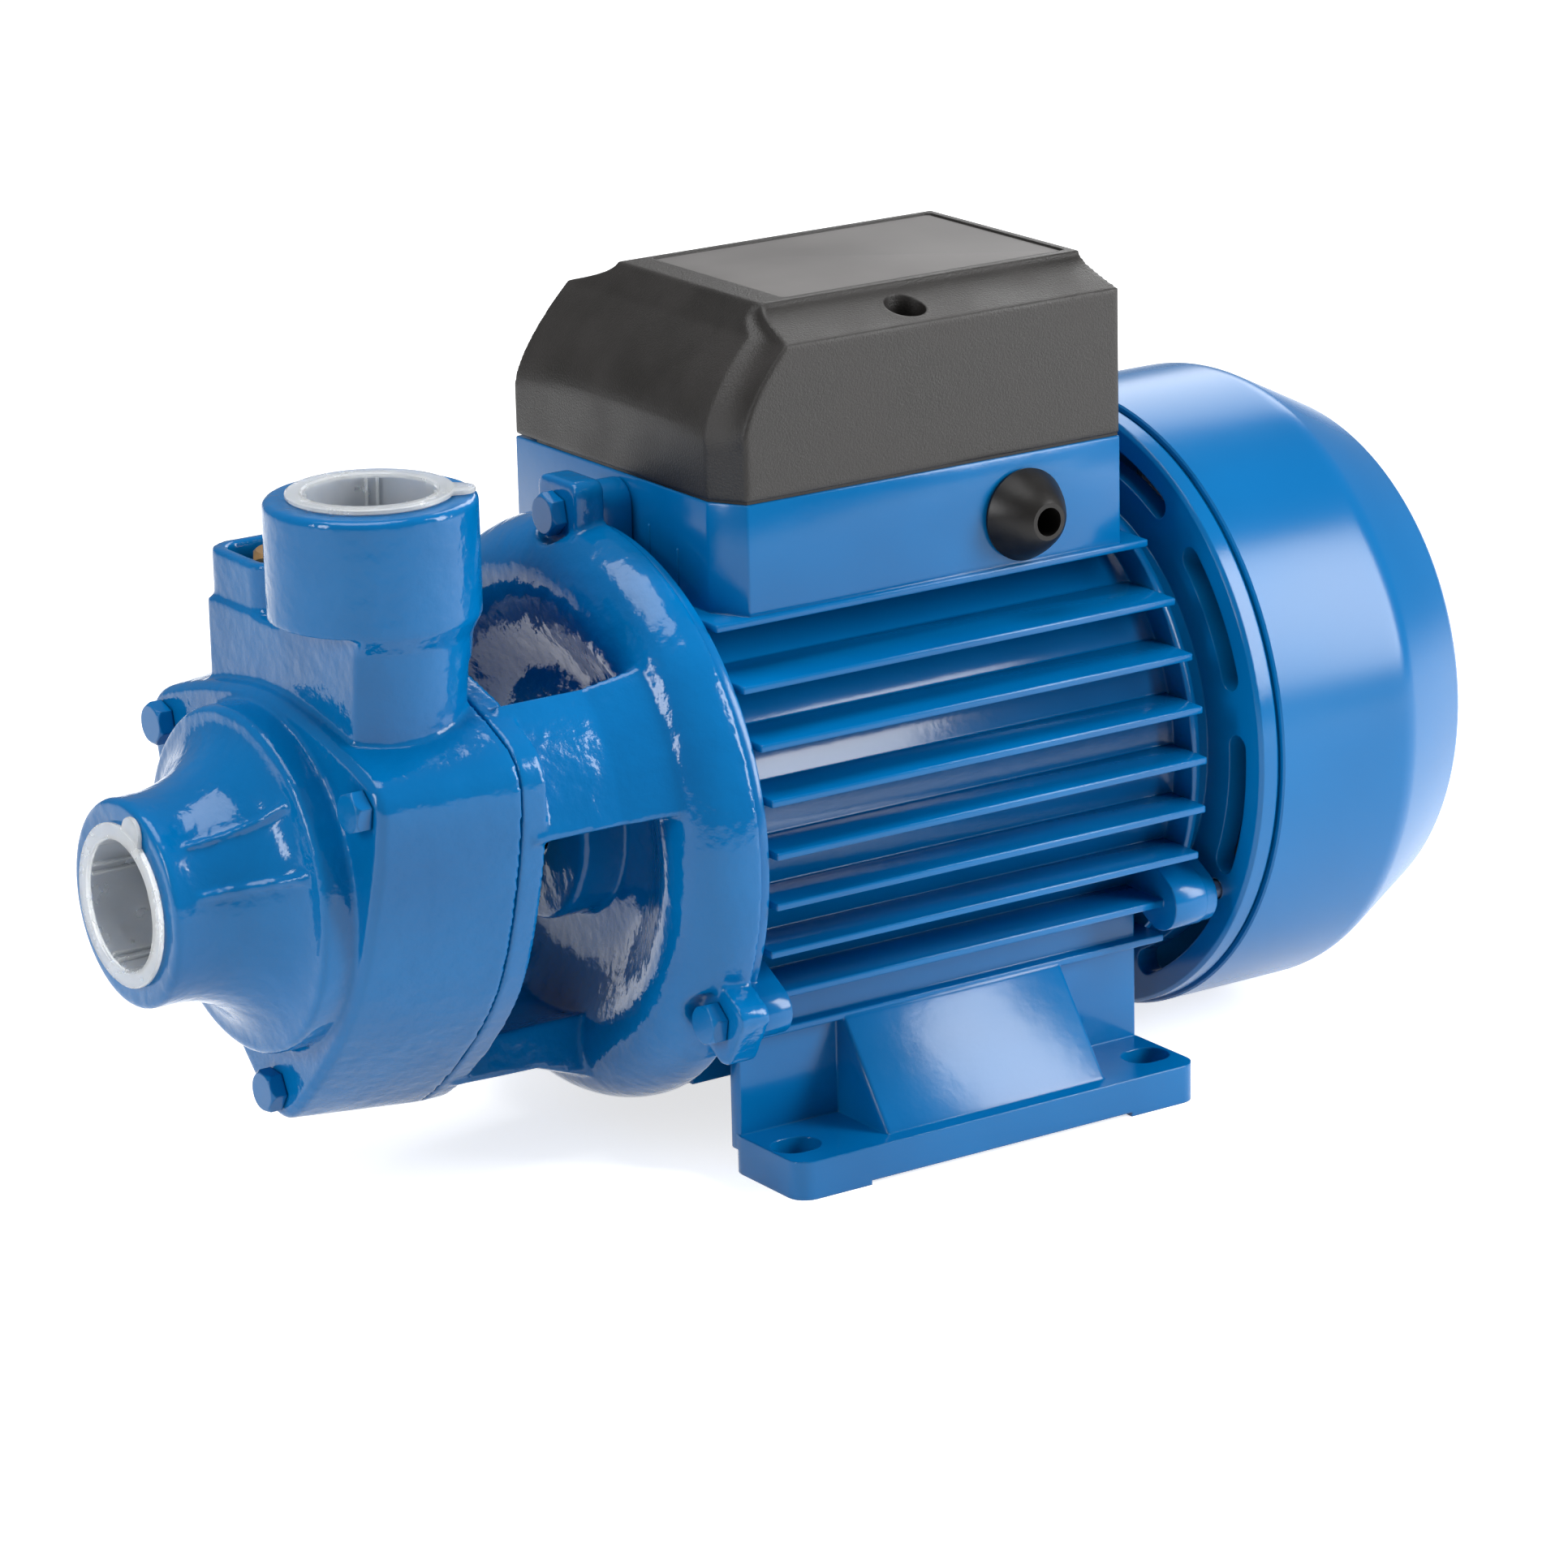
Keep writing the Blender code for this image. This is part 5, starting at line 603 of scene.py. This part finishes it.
def bell():
    """Hub, pocket floor and rolled lip, with the bearing seat and register behind."""
    lip_x = 36.0
    lip_r = 53.5
    bore = 8.7
    hub_x = 33.2
    hub_r = 23.0
    dish_run = 24.0
    dish_depth = 8.3
    profile = [(hub_x, bore), (hub_x, 21.9), (34.3, hub_r), (44.3, hub_r)]
    steps = 12
    for step in range(steps + 1):
        share = 1.0 - step / steps
        x = lip_x + 0.5 * dish_depth * (1.0 - math.cos(math.pi * share))
        profile.append((x, lip_r - dish_run * share))
    for step in range(1, steps + 1):
        angle = 0.5 * math.pi * (1.0 - step / steps)
        profile.append((lip_x + 13.5 * (1.0 - math.sin(angle)), lip_r + 12.5 * math.cos(angle)))
    profile += [(51.0, 66.0), (51.0, 47.8), (54.0, 47.8), (54.0, 44.6), (49.5, 44.6), (48.3, 40.6),
                (48.3, 17.8), (37.0, 17.8), (37.0, bore)]
    return lathe(profile)


def out_block(half, inner, outer, corner, low, high, angle):
    """Block standing out from the shaft at an angle, with round outer corners."""
    direction = math.radians(angle)
    outline = []
    flat = [(-half, inner), (half, inner)]
    for centre, start in (((half - corner, outer - corner), 0.0), ((corner - half, outer - corner), 90.0)):
        for step in range(7):
            across, up = polar(corner, start + 15.0 * step)
            flat.append((centre[0] + across, centre[1] + up))
    for across, out in flat:
        outline.append((out * math.cos(direction) - across * math.sin(direction),
                        out * math.sin(direction) + across * math.cos(direction)))
    return prism(outline, low, high, "X")


def make_bracket(paint):
    """Lobed flange, hub, bell, arms and ears melted together, with the holes cut sharp."""
    bracket = prism(lobed_outline(FLANGE_CORE, FLANGE_LOBE), 0.3, 6.3, "X")
    hub = lathe([(3.0, 0.0), (3.0, 29.0), (6.3, 29.0), (20.3, 20.0), (20.3, 0.0)])
    join(bracket, hub, bell())
    arm_half = 16.5
    arm_root = 45.0
    for angle in BOLT_ANGLES:
        profile = [(3.3, arm_root), (3.3, 54.0), (6.3, 54.0), (24.9, 54.5), (36.0, 58.5), (43.5, 61.0),
                   (43.5, arm_root)]
        join(bracket, sector(profile, angle - arm_half, angle + arm_half, 12))
    for angle in EAR_ANGLES:
        y, z = polar(EAR_PITCH, angle)
        join(bracket, out_block(8.0, 60.0, 75.0, 3.0, EAR_FRONT, 50.85, angle))
        cut(bracket, rod(6.6, 30.0, EAR_FRONT, centre=(0.0, y, z)))
    cut(bracket, rod(14.0, -20.0, 17.8), rod(8.7, -20.0, 30.0))
    cast(bracket, 0.62, 4)
    for angle in EAR_ANGLES:
        y, z = polar(EAR_PITCH, angle)
        cut(bracket, rod(BOLT_HOLE, 30.0, 60.0, centre=(0.0, y, z), segments=SMALL))
    for angle in BOLT_ANGLES:
        y, z = polar(BODY_PITCH, angle)
        cut(bracket, rod(BOLT_HOLE, -10.0, 10.3, centre=(0.0, y, z), segments=SMALL))
    settle(bracket, "cast_motor_bracket", "pump", paint["cast"], ["motor_bracket"])


# Motor housing


def fin(height, side):
    """One horizontal fin, a little thinner at its tip."""
    barrel = 52.0
    least = 12.0
    half_tip = 0.85
    half_root = 1.2
    tip = math.sqrt(FIN_TIP ** 2 - height ** 2)
    root = math.sqrt(max(barrel ** 2 - height ** 2, least ** 2))
    section = [(side * root, height - half_root), (side * tip, height - half_tip),
               (side * tip, height + half_tip), (side * root, height + half_root)]
    return eased(prism(section, FIN_FRONT, FIN_REAR, "X"), 0.35, 2, 40.0)


def bottom_fin(side):
    """One upright fin under the barrel."""
    reach = math.sqrt(FIN_TIP ** 2 - side ** 2)
    return eased(box((FIN_FRONT, side - 1.0, -reach), (FIN_REAR, side + 1.0, -42.0)), 0.4)


def foot_pieces(side):
    """Rail with slots, upright wall and sloping gusset on one side."""
    low = FOOT_INNER if side > 0.0 else -FOOT_OUTER
    high = FOOT_OUTER if side > 0.0 else -FOOT_INNER
    rail = prism(rounded((56.3, low), (165.3, high), 4.5), FOOT_SOLE, FOOT_TOP, "Z")
    tools = [box((75.3, low - 5.0, -80.0), (146.3, high + 5.0, FOOT_SOLE + 1.0))]
    steps = 32
    for x in (63.0, 158.6):
        slot = []
        for step in range(steps):
            across, up = polar(4.7, 360.0 * (step + 0.5) / steps)
            slot.append((x + across + math.copysign(1.0, across), side * 58.5 + up))
        tools.append(prism(slot, -80.0, -60.0, "Z"))
    cut(rail, *tools)
    inner = side * 42.6
    outer = side * 46.5
    root = -70.0
    wall = eased(box((56.6, min(inner, outer), root), (165.0, max(inner, outer), -31.75)), 0.5)
    slope = ((44.0, root), (66.0, root), (66.0, FOOT_TOP), (49.2, -43.2), (44.0, -43.2))
    profile = [(side * y, z) for y, z in slope]
    gusset = eased(prism(profile, 82.5, 142.0, "X"), 0.9, 3)
    return [rail, wall, gusset]


def box_outline(inset):
    """Terminal box seen from above, with its near front corner cut off."""
    front = BOX_FRONT + inset
    rear = BOX_REAR - inset
    half = BOX_HALF - inset
    return [(front + CORNER_X, -half), (rear, -half), (rear, half), (front, half), (front, CORNER_Y - half)]


def make_housing(paint):
    """Barrel with its rings, box base, fins, feet and lugs."""
    bore = 48.1
    front = 51.3
    rear = 174.0
    barrel = lathe([(front, bore), (front, 64.0), (54.3, 64.0), (54.3, 53.0), (171.6, 53.0), (171.6, 59.5),
                    (rear, 59.5), (rear, bore)])
    base = eased(prism(box_outline(0.0), FIN_TOP, 73.95, "Z"), 0.4)
    cut(base, prism(box_outline(3.0), 51.0, 90.0, "Z"), rod(7.5, -80.0, -20.0, "Y", GROMMET_PLACE))
    pieces = [eased(barrel, 0.4), base]
    for across, low, high in FRONT_MARKS:
        mark = box((BOX_FRONT - 0.25, across - 0.3, low), (BOX_FRONT + 0.5, across + 0.3, high))
        pieces.append(eased(mark, 0.12))
    for level in range(FIN_LEVELS):
        height = FIN_TOP - FIN_PITCH * level
        pieces += [fin(height, -1.0), fin(height, 1.0)]
    for index in range(BOTTOM_FINS):
        pieces.append(bottom_fin((index - 0.5 * (BOTTOM_FINS - 1)) * FIN_PITCH))
    post = [(50.0, SCREW_HOLE), (50.0, 5.0), (73.5, 5.0), (73.5, SCREW_HOLE)]
    for side in (-1.0, 1.0):
        pieces += foot_pieces(side)
        pieces.append(lathe(post, "Z", (LID_SCREW_X, side * LID_SCREW_Y, 0.0), FAIR))
    for angle in EAR_ANGLES:
        y, z = polar(EAR_PITCH, angle)
        lug = out_block(5.5, 50.55, 73.0, 5.4, front, 59.5, angle)
        cut(lug, rod(BOLT_HOLE, 40.0, 59.2, centre=(0.0, y, z), segments=SMALL))
        pieces.append(eased(lug, 0.5, 2, 50.0))
        y, z = polar(SHIELD_PITCH, angle)
        lug = out_block(6.5, 50.55, 70.5, 6.4, 165.0, rear, angle)
        join(lug, out_block(6.2, 53.3, 70.2, 6.1, 172.8, 177.0, angle))
        cut(lug, rod(SCREW_HOLE, 165.5, 190.0, centre=(0.0, y, z), segments=SMALL))
        pieces.append(eased(lug, 0.5, 2, 50.0))
    housing = gather(*pieces)
    settle(housing, "finned_motor_housing", "pump", paint["smooth"], ["motor_housing"])


# Terminal box lid


def lid_section(height, start, half, cut_x, cut_y, hollow):
    """One level of the lid: arched front slope, near front corner cut off along a hollow line."""
    outline = [(BOX_REAR, half)]
    steps = 16
    for step in range(steps + 1):
        y = half - (2.0 * half - cut_y) * step / steps
        foot = SLOPE_FOOT + SLOPE_ARCH * (1.0 - (y / half) ** 2)
        share = min(max((height - foot) / (SLOPE_TOP - foot), 0.0), 1.0)
        outline.append((start + SLOPE_RUN * share ** SLOPE_POWER, y))
    steps = 8
    front = outline[-1][0]
    for step in range(1, steps + 1):
        share = step / steps
        sag = 0.7 * hollow * math.sin(math.pi * share)
        outline.append((front + cut_x * share + sag, -half + cut_y * (1.0 - share) + sag))
    outline.append((BOX_REAR, -half))
    return [(x, y, height) for x, y in outline]


def make_lid(paint):
    """Lid lofted level by level, first up the front slope and then over the rounded shoulders."""
    bottom = 74.35
    top_cut = (1.0, 12.5)
    levels = [lid_section(bottom, BOX_FRONT, BOX_HALF, CORNER_X, CORNER_Y, 0.0)]
    steps = 12
    for step in range(steps + 1):
        share = step / steps
        height = SLOPE_FOOT + (SLOPE_TOP - SLOPE_FOOT) * share
        levels.append(lid_section(height, BOX_FRONT, BOX_HALF, CORNER_X - 4.0 * share,
                                  CORNER_Y + 4.2 * share, 0.2 + 2.4 * share))
    steps = 8
    for step in range(1, steps + 1):
        share = step / steps
        half = 28.2 + 14.6 * (1.0 - math.sin(0.5 * math.pi * share))
        levels.append(lid_section(SLOPE_TOP + 6.2 * share, BOX_FRONT + 4.4 * share, half, top_cut[0],
                                  top_cut[1] - 11.5 * share, 2.6 - 2.5 * share))
    lid = loft(levels)
    cut(lid, prism(box_outline(2.6), 60.0, 84.5, "Z"))
    cast(lid, 0.55, 3)
    cut(lid, prism(rounded((86.5, -26.1), (162.2, 26.1), 1.2), 112.95, 130.0, "Z"))
    for side in (-1.0, 1.0):
        place = (LID_SCREW_X, side * LID_SCREW_Y, 0.0)
        cut(lid, rod(4.6, 83.0, 130.0, "Z", place), rod(SCREW_HOLE, 60.0, 90.0, "Z", place, SMALL))
    settle(lid, "moulded_terminal_lid", "pump", paint["lid"], ["terminal_box_lid"])
    bed = eased(prism(rounded((86.8, -25.8), (161.9, 25.8), 1.0), 112.85, 113.1, "Z"), 0.08)
    settle(bed, "bare_label_bed", "pump", paint["bed"], [])


# Grommet, plug and screws


def make_grommet(paint):
    """Cone outside the wall, a neck through it and a flange inside, round an open bore."""
    bore = 3.2
    nose = -52.4
    profile = [(nose, bore), (nose, 4.2), (-51.8, 5.0), (-49.4, 7.0), (-46.4, 9.0), (-44.6, 10.0),
               (-43.8, 10.4), (-43.1, 10.3), (-43.1, 7.2), (-39.5, 7.2), (-39.5, 8.8), (-37.9, 8.8),
               (-37.9, bore)]
    grommet = lathe(profile, "Y", GROMMET_PLACE)
    settle(grommet, "cone_cable_grommet", "pump", paint["rubber"], ["cable_grommet"])


def make_plug(paint):
    """Priming plug with a chamfered hexagon, and the washer under it."""
    bore = 7.2
    washer = lathe([(55.3, bore), (55.3, 8.3), (55.6, 8.6), (56.5, 8.6), (56.8, 8.3), (56.8, bore)],
                   "Z", PLUG_PLACE, ROUND)
    settle(washer, "fibre_priming_washer", "washer", paint["green"], ["priming_washer"])
    top = 65.6
    hexagon = lathe([(57.1, 0.0), (57.1, 8.0), (top, 8.0), (top, 0.0)], "Z", PLUG_PLACE, HEX)
    crown = lathe([(56.0, 0.0), (56.0, 8.4), (63.8, 8.4), (top, 6.4), (top, 0.0)], "Z", PLUG_PLACE, ROUND)
    combine(hexagon, [crown], "INTERSECT")
    plug = gather(hexagon, rod(6.6, 47.0, 58.0, "Z", PLUG_PLACE))
    settle(plug, "brass_priming_plug", "plug", paint["brass"], ["priming_plug"])


def make_screws(paint):
    """Cross-headed lid screws and the long screws of the rear shield."""
    seat = 83.2
    top = 86.0
    recess = 84.6
    long_half = 2.6
    short_half = 0.4
    for name, side in (("lid_screw_near", -1.0), ("lid_screw_far", 1.0)):
        x = LID_SCREW_X
        y = side * LID_SCREW_Y
        centre = (x, y, 0.0)
        head = lathe([(seat, 0.0), (seat, 3.6), (83.5, 3.8), (84.6, 3.8), (85.6, 2.8), (top, 1.4),
                      (top, 0.0)], "Z", centre, MEDIUM)
        cut(head, box((x - long_half, y - short_half, recess), (x + long_half, y + short_half, 90.0)),
            box((x - short_half, y - long_half, recess), (x + short_half, y + long_half, 90.0)))
        screw = gather(head, rod(2.0, 51.6, 84.0, "Z", centre, SMALL))
        settle(screw, "cross_" + name, "pump", paint["steel"], [name])
    end = 165.6
    shank = 2.0
    profile = [(end, 0.0), (end, shank), (187.0, shank), (187.0, 3.6), (187.2, 3.8), (188.8, 3.8),
               (189.8, 2.6), (189.8, 0.0)]
    for index, angle in enumerate(EAR_ANGLES):
        y, z = polar(SHIELD_PITCH, angle)
        node = "shield_screw_" + str(index + 1)
        screw = lathe(profile, "X", (0.0, y, z), FAIR)
        settle(screw, "long_" + node, "pump", paint["steel"], [node])


# Rear shield and fan cover


def make_shield(paint):
    """Turned disc with its bearing seat and rim, three curved slots between every two screws."""
    seat = 16.3
    inner_x = 165.8
    web = 174.3
    back = 181.5
    profile = [(inner_x, seat), (inner_x, 21.0), (web, 21.0), (web, 44.6), (170.3, 44.6), (170.3, 47.8),
               (web, 47.8), (web, 52.7), (SHIELD_FRONT, 52.7), (SHIELD_FRONT, 71.2), (182.1, 72.0),
               (185.9, 72.0), (SHIELD_REAR, 71.4), (SHIELD_REAR, 71.2), (191.3, 71.2), (191.3, 69.2),
               (SHIELD_REAR, 69.2), (SHIELD_REAR, 47.8), (back, 44.6), (back, 7.2),
               (178.5, 7.2), (178.5, seat)]
    shield = lathe(profile)
    for angle in EAR_ANGLES:
        for middle in (angle + 20.0, angle + 60.0, angle + 100.0):
            cut(shield, arc_slot(middle, 31.0, 60.5, 66.5, 181.0, 200.0))
        y, z = polar(SHIELD_PITCH, angle)
        cut(shield, rod(SCREW_HOLE, 170.0, 200.0, centre=(0.0, y, z), segments=SMALL))
    settle(shield, "slotted_rear_shield", "pump", paint["smooth"], ["rear_end_shield"])


def arc_slot(middle, span, inner, outer, low, high):
    """Curved slot with round ends, as a solid to cut with."""
    half = 0.5 * (outer - inner)
    centre = 0.5 * (outer + inner)
    turn = math.degrees(half / centre)
    outline = []
    steps = 14
    end_steps = 8
    start = middle - 0.5 * span + turn
    end = middle + 0.5 * span - turn
    for radius, begin, finish, cap_turn in ((outer, start, end, 0.0), (inner, end, start, 180.0)):
        for step in range(steps + 1):
            outline.append(polar(radius, begin + (finish - begin) * step / steps))
        y, z = polar(centre, finish)
        for step in range(1, end_steps):
            across, up = polar(half, finish + cap_turn + 180.0 * step / end_steps)
            outline.append((y + across, z + up))
    return prism(outline, low, high, "X")


def make_cover(paint):
    """Sheet cover with a slanting rear edge and three rings of air slots in its back."""
    slant = math.atan2(12.5, 25.1)
    lead = 0.4
    outer = [(COVER_FRONT, COVER_RADIUS - lead), (COVER_FRONT + lead, COVER_RADIUS), (219.0, COVER_RADIUS)]
    bend_x = 224.1
    radius = 12.0
    start = bend_x - radius * math.tan(0.5 * slant)
    steps = 8
    for step in range(steps + 1):
        angle = slant * step / steps
        outer.append((start + radius * math.sin(angle), COVER_RADIUS - radius * (1.0 - math.cos(angle))))
    corner = 5.0
    edge_r = 60.5
    turn = 0.5 * math.pi - slant
    centre_x = COVER_REAR - corner
    centre_r = edge_r - corner * math.tan(0.5 * turn)
    for step in range(steps + 1):
        angle = slant + turn * step / steps
        outer.append((centre_x + corner * math.sin(angle), centre_r + corner * math.cos(angle)))
    inner = []
    for (x0, r0), (x1, r1) in zip(outer[1:], outer[2:]):
        length = math.hypot(x1 - x0, r1 - r0)
        inner.append((x0 + COVER_WALL * (r1 - r0) / length, r0 - COVER_WALL * (x1 - x0) / length))
    inner[0] = (COVER_FRONT, COVER_RADIUS - COVER_WALL)
    back = COVER_REAR - COVER_WALL
    profile = [(back, 0.0), (back, centre_r)] + list(reversed(inner)) + outer + [(COVER_REAR, 0.0)]
    cover = lathe(profile)
    slot_width = 5.0
    for ring in range(3):
        low = 16.0 + 11.5 * ring
        for arc in range(4):
            middle = 90.0 * (arc + 0.5 * (ring % 2))
            cut(cover, arc_slot(middle, 74.0, low, low + slot_width, 240.0, 260.0))
    settle(cover, "pressed_fan_cover", "pump", paint["sheet"], ["fan_cover"])


# Pieces that stay as they are


def paint_nodes(frame, paint):
    finishes = {"terminal_box_gasket": "rubber", "body_o_ring": "rubber", "seal_head": "rubber",
                "slinger": "rubber", "seal_seat": "ceramic", "stator_core": "core", "rotor_core": "core",
                "winding_front": "copper", "winding_rear": "copper", "rotor_ring_front": "aluminium",
                "rotor_ring_rear": "aluminium", "cooling_fan": "grey", "run_capacitor": "grey",
                "terminal_board": "lid", "impeller": "brass"}
    for name, item in frame["nodes"].items():
        item.data.materials.clear()
        item.data.materials.append(paint[finishes.get(name, "steel")])


# Stage, light and camera


def seen_rays(nodes, links):
    """One for rays from the camera, mirrored rays and rays passed through, nought for the rest."""
    path = nodes.new("ShaderNodeLightPath")
    value = path.outputs["Is Camera Ray"]
    for name in ("Is Glossy Ray", "Is Transmission Ray"):
        largest = nodes.new("ShaderNodeMath")
        largest.operation = "MAXIMUM"
        links.new(value, largest.inputs[0])
        links.new(path.outputs[name], largest.inputs[1])
        value = largest.outputs["Value"]
    return value


def pale_floor():
    """Floor that is seen as white and still takes the object's shadow."""
    paint, nodes, links = new_material("pale_floor")
    shader = nodes["Principled BSDF"]
    shader.inputs["Base Color"].default_value = (0.86, 0.86, 0.86, 1.0)
    shader.inputs["Roughness"].default_value = 0.9
    shader.inputs["Specular IOR Level"].default_value = 0.0
    glow = nodes.new("ShaderNodeEmission")
    level = nodes.new("ShaderNodeMath")
    level.operation = "MULTIPLY"
    level.inputs[1].default_value = FLOOR_GLOW
    links.new(seen_rays(nodes, links), level.inputs[0])
    links.new(level.outputs["Value"], glow.inputs["Strength"])
    both = nodes.new("ShaderNodeAddShader")
    links.new(shader.outputs["BSDF"], both.inputs[0])
    links.new(glow.outputs["Emission"], both.inputs[1])
    links.new(both.outputs["Shader"], nodes["Material Output"].inputs["Surface"])
    return paint


def make_stage():
    reach = 4.0
    corners = [(-reach, -reach, 0.0), (reach, -reach, 0.0), (reach, reach, 0.0), (-reach, reach, 0.0)]
    floor = solid(corners, [[0, 1, 2, 3]])
    floor.name = "floor"
    floor.data.materials.append(pale_floor())


def area_light(name, place, target, size, power):
    """Soft lamp that looks at a target."""
    lamp = bpy.data.lights.new(name, "AREA")
    lamp.shape = "RECTANGLE"
    lamp.size, lamp.size_y = size
    lamp.energy = power
    item = bpy.data.objects.new(name, lamp)
    item.location = place
    item.rotation_euler = (Vector(target) - Vector(place)).to_track_quat("-Z", "Y").to_euler()
    bpy.context.scene.collection.objects.link(item)


def make_light():
    world = bpy.data.worlds.new("studio")
    world.use_nodes = True
    background = world.node_tree.nodes["Background"]
    background.inputs["Strength"].default_value = AMBIENT
    background.inputs["Color"].default_value = (1.0, 1.0, 1.0, 1.0)
    bpy.context.scene.world = world
    area_light("top_box", (-0.15, 0.05, 1.15), (0.0, 0.0, 0.08), (0.7, 0.7), 9.0)
    area_light("near_box", (0.85, -0.81, 0.61), (0.05, 0.0, 0.08), (0.42, 0.90), 17.0)
    area_light("left_box", (-1.20, -0.10, 0.55), (-0.05, 0.0, 0.09), (0.22, 0.6), 6.0)
    area_light("far_box", (0.9, 0.75, 0.75), (0.05, 0.0, 0.1), (0.5, 0.7), 4.0)


def make_camera():
    data = bpy.data.cameras.new("camera")
    data.lens = CAMERA_LENS
    data.sensor_width = 36.0
    data.sensor_fit = "HORIZONTAL"
    data.clip_end = 20.0
    camera = bpy.data.objects.new("camera", data)
    turn = Matrix((CAMERA_RIGHT, CAMERA_UP, CAMERA_BACK)).transposed().to_4x4()
    camera.matrix_world = Matrix.Translation(CAMERA_PLACE) @ turn
    bpy.context.scene.collection.objects.link(camera)
    bpy.context.scene.camera = camera


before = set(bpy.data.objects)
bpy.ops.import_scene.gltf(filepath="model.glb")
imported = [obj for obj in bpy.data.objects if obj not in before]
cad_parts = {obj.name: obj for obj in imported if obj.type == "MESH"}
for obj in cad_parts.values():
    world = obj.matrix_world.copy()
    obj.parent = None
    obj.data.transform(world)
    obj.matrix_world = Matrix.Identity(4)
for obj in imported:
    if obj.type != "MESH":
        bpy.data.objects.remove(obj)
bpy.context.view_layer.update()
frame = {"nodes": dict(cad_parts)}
bpy.context.scene.view_settings.view_transform = "Standard"
make_camera()
make_light()
make_stage()
paints = make_materials()
paint_nodes(frame, paints)
make_pump_body(paints)
make_caps(paints)
make_bolts(paints)
make_bracket(paints)
make_housing(paints)
make_lid(paints)
make_grommet(paints)
make_plug(paints)
make_screws(paints)
make_shield(paints)
make_cover(paints)
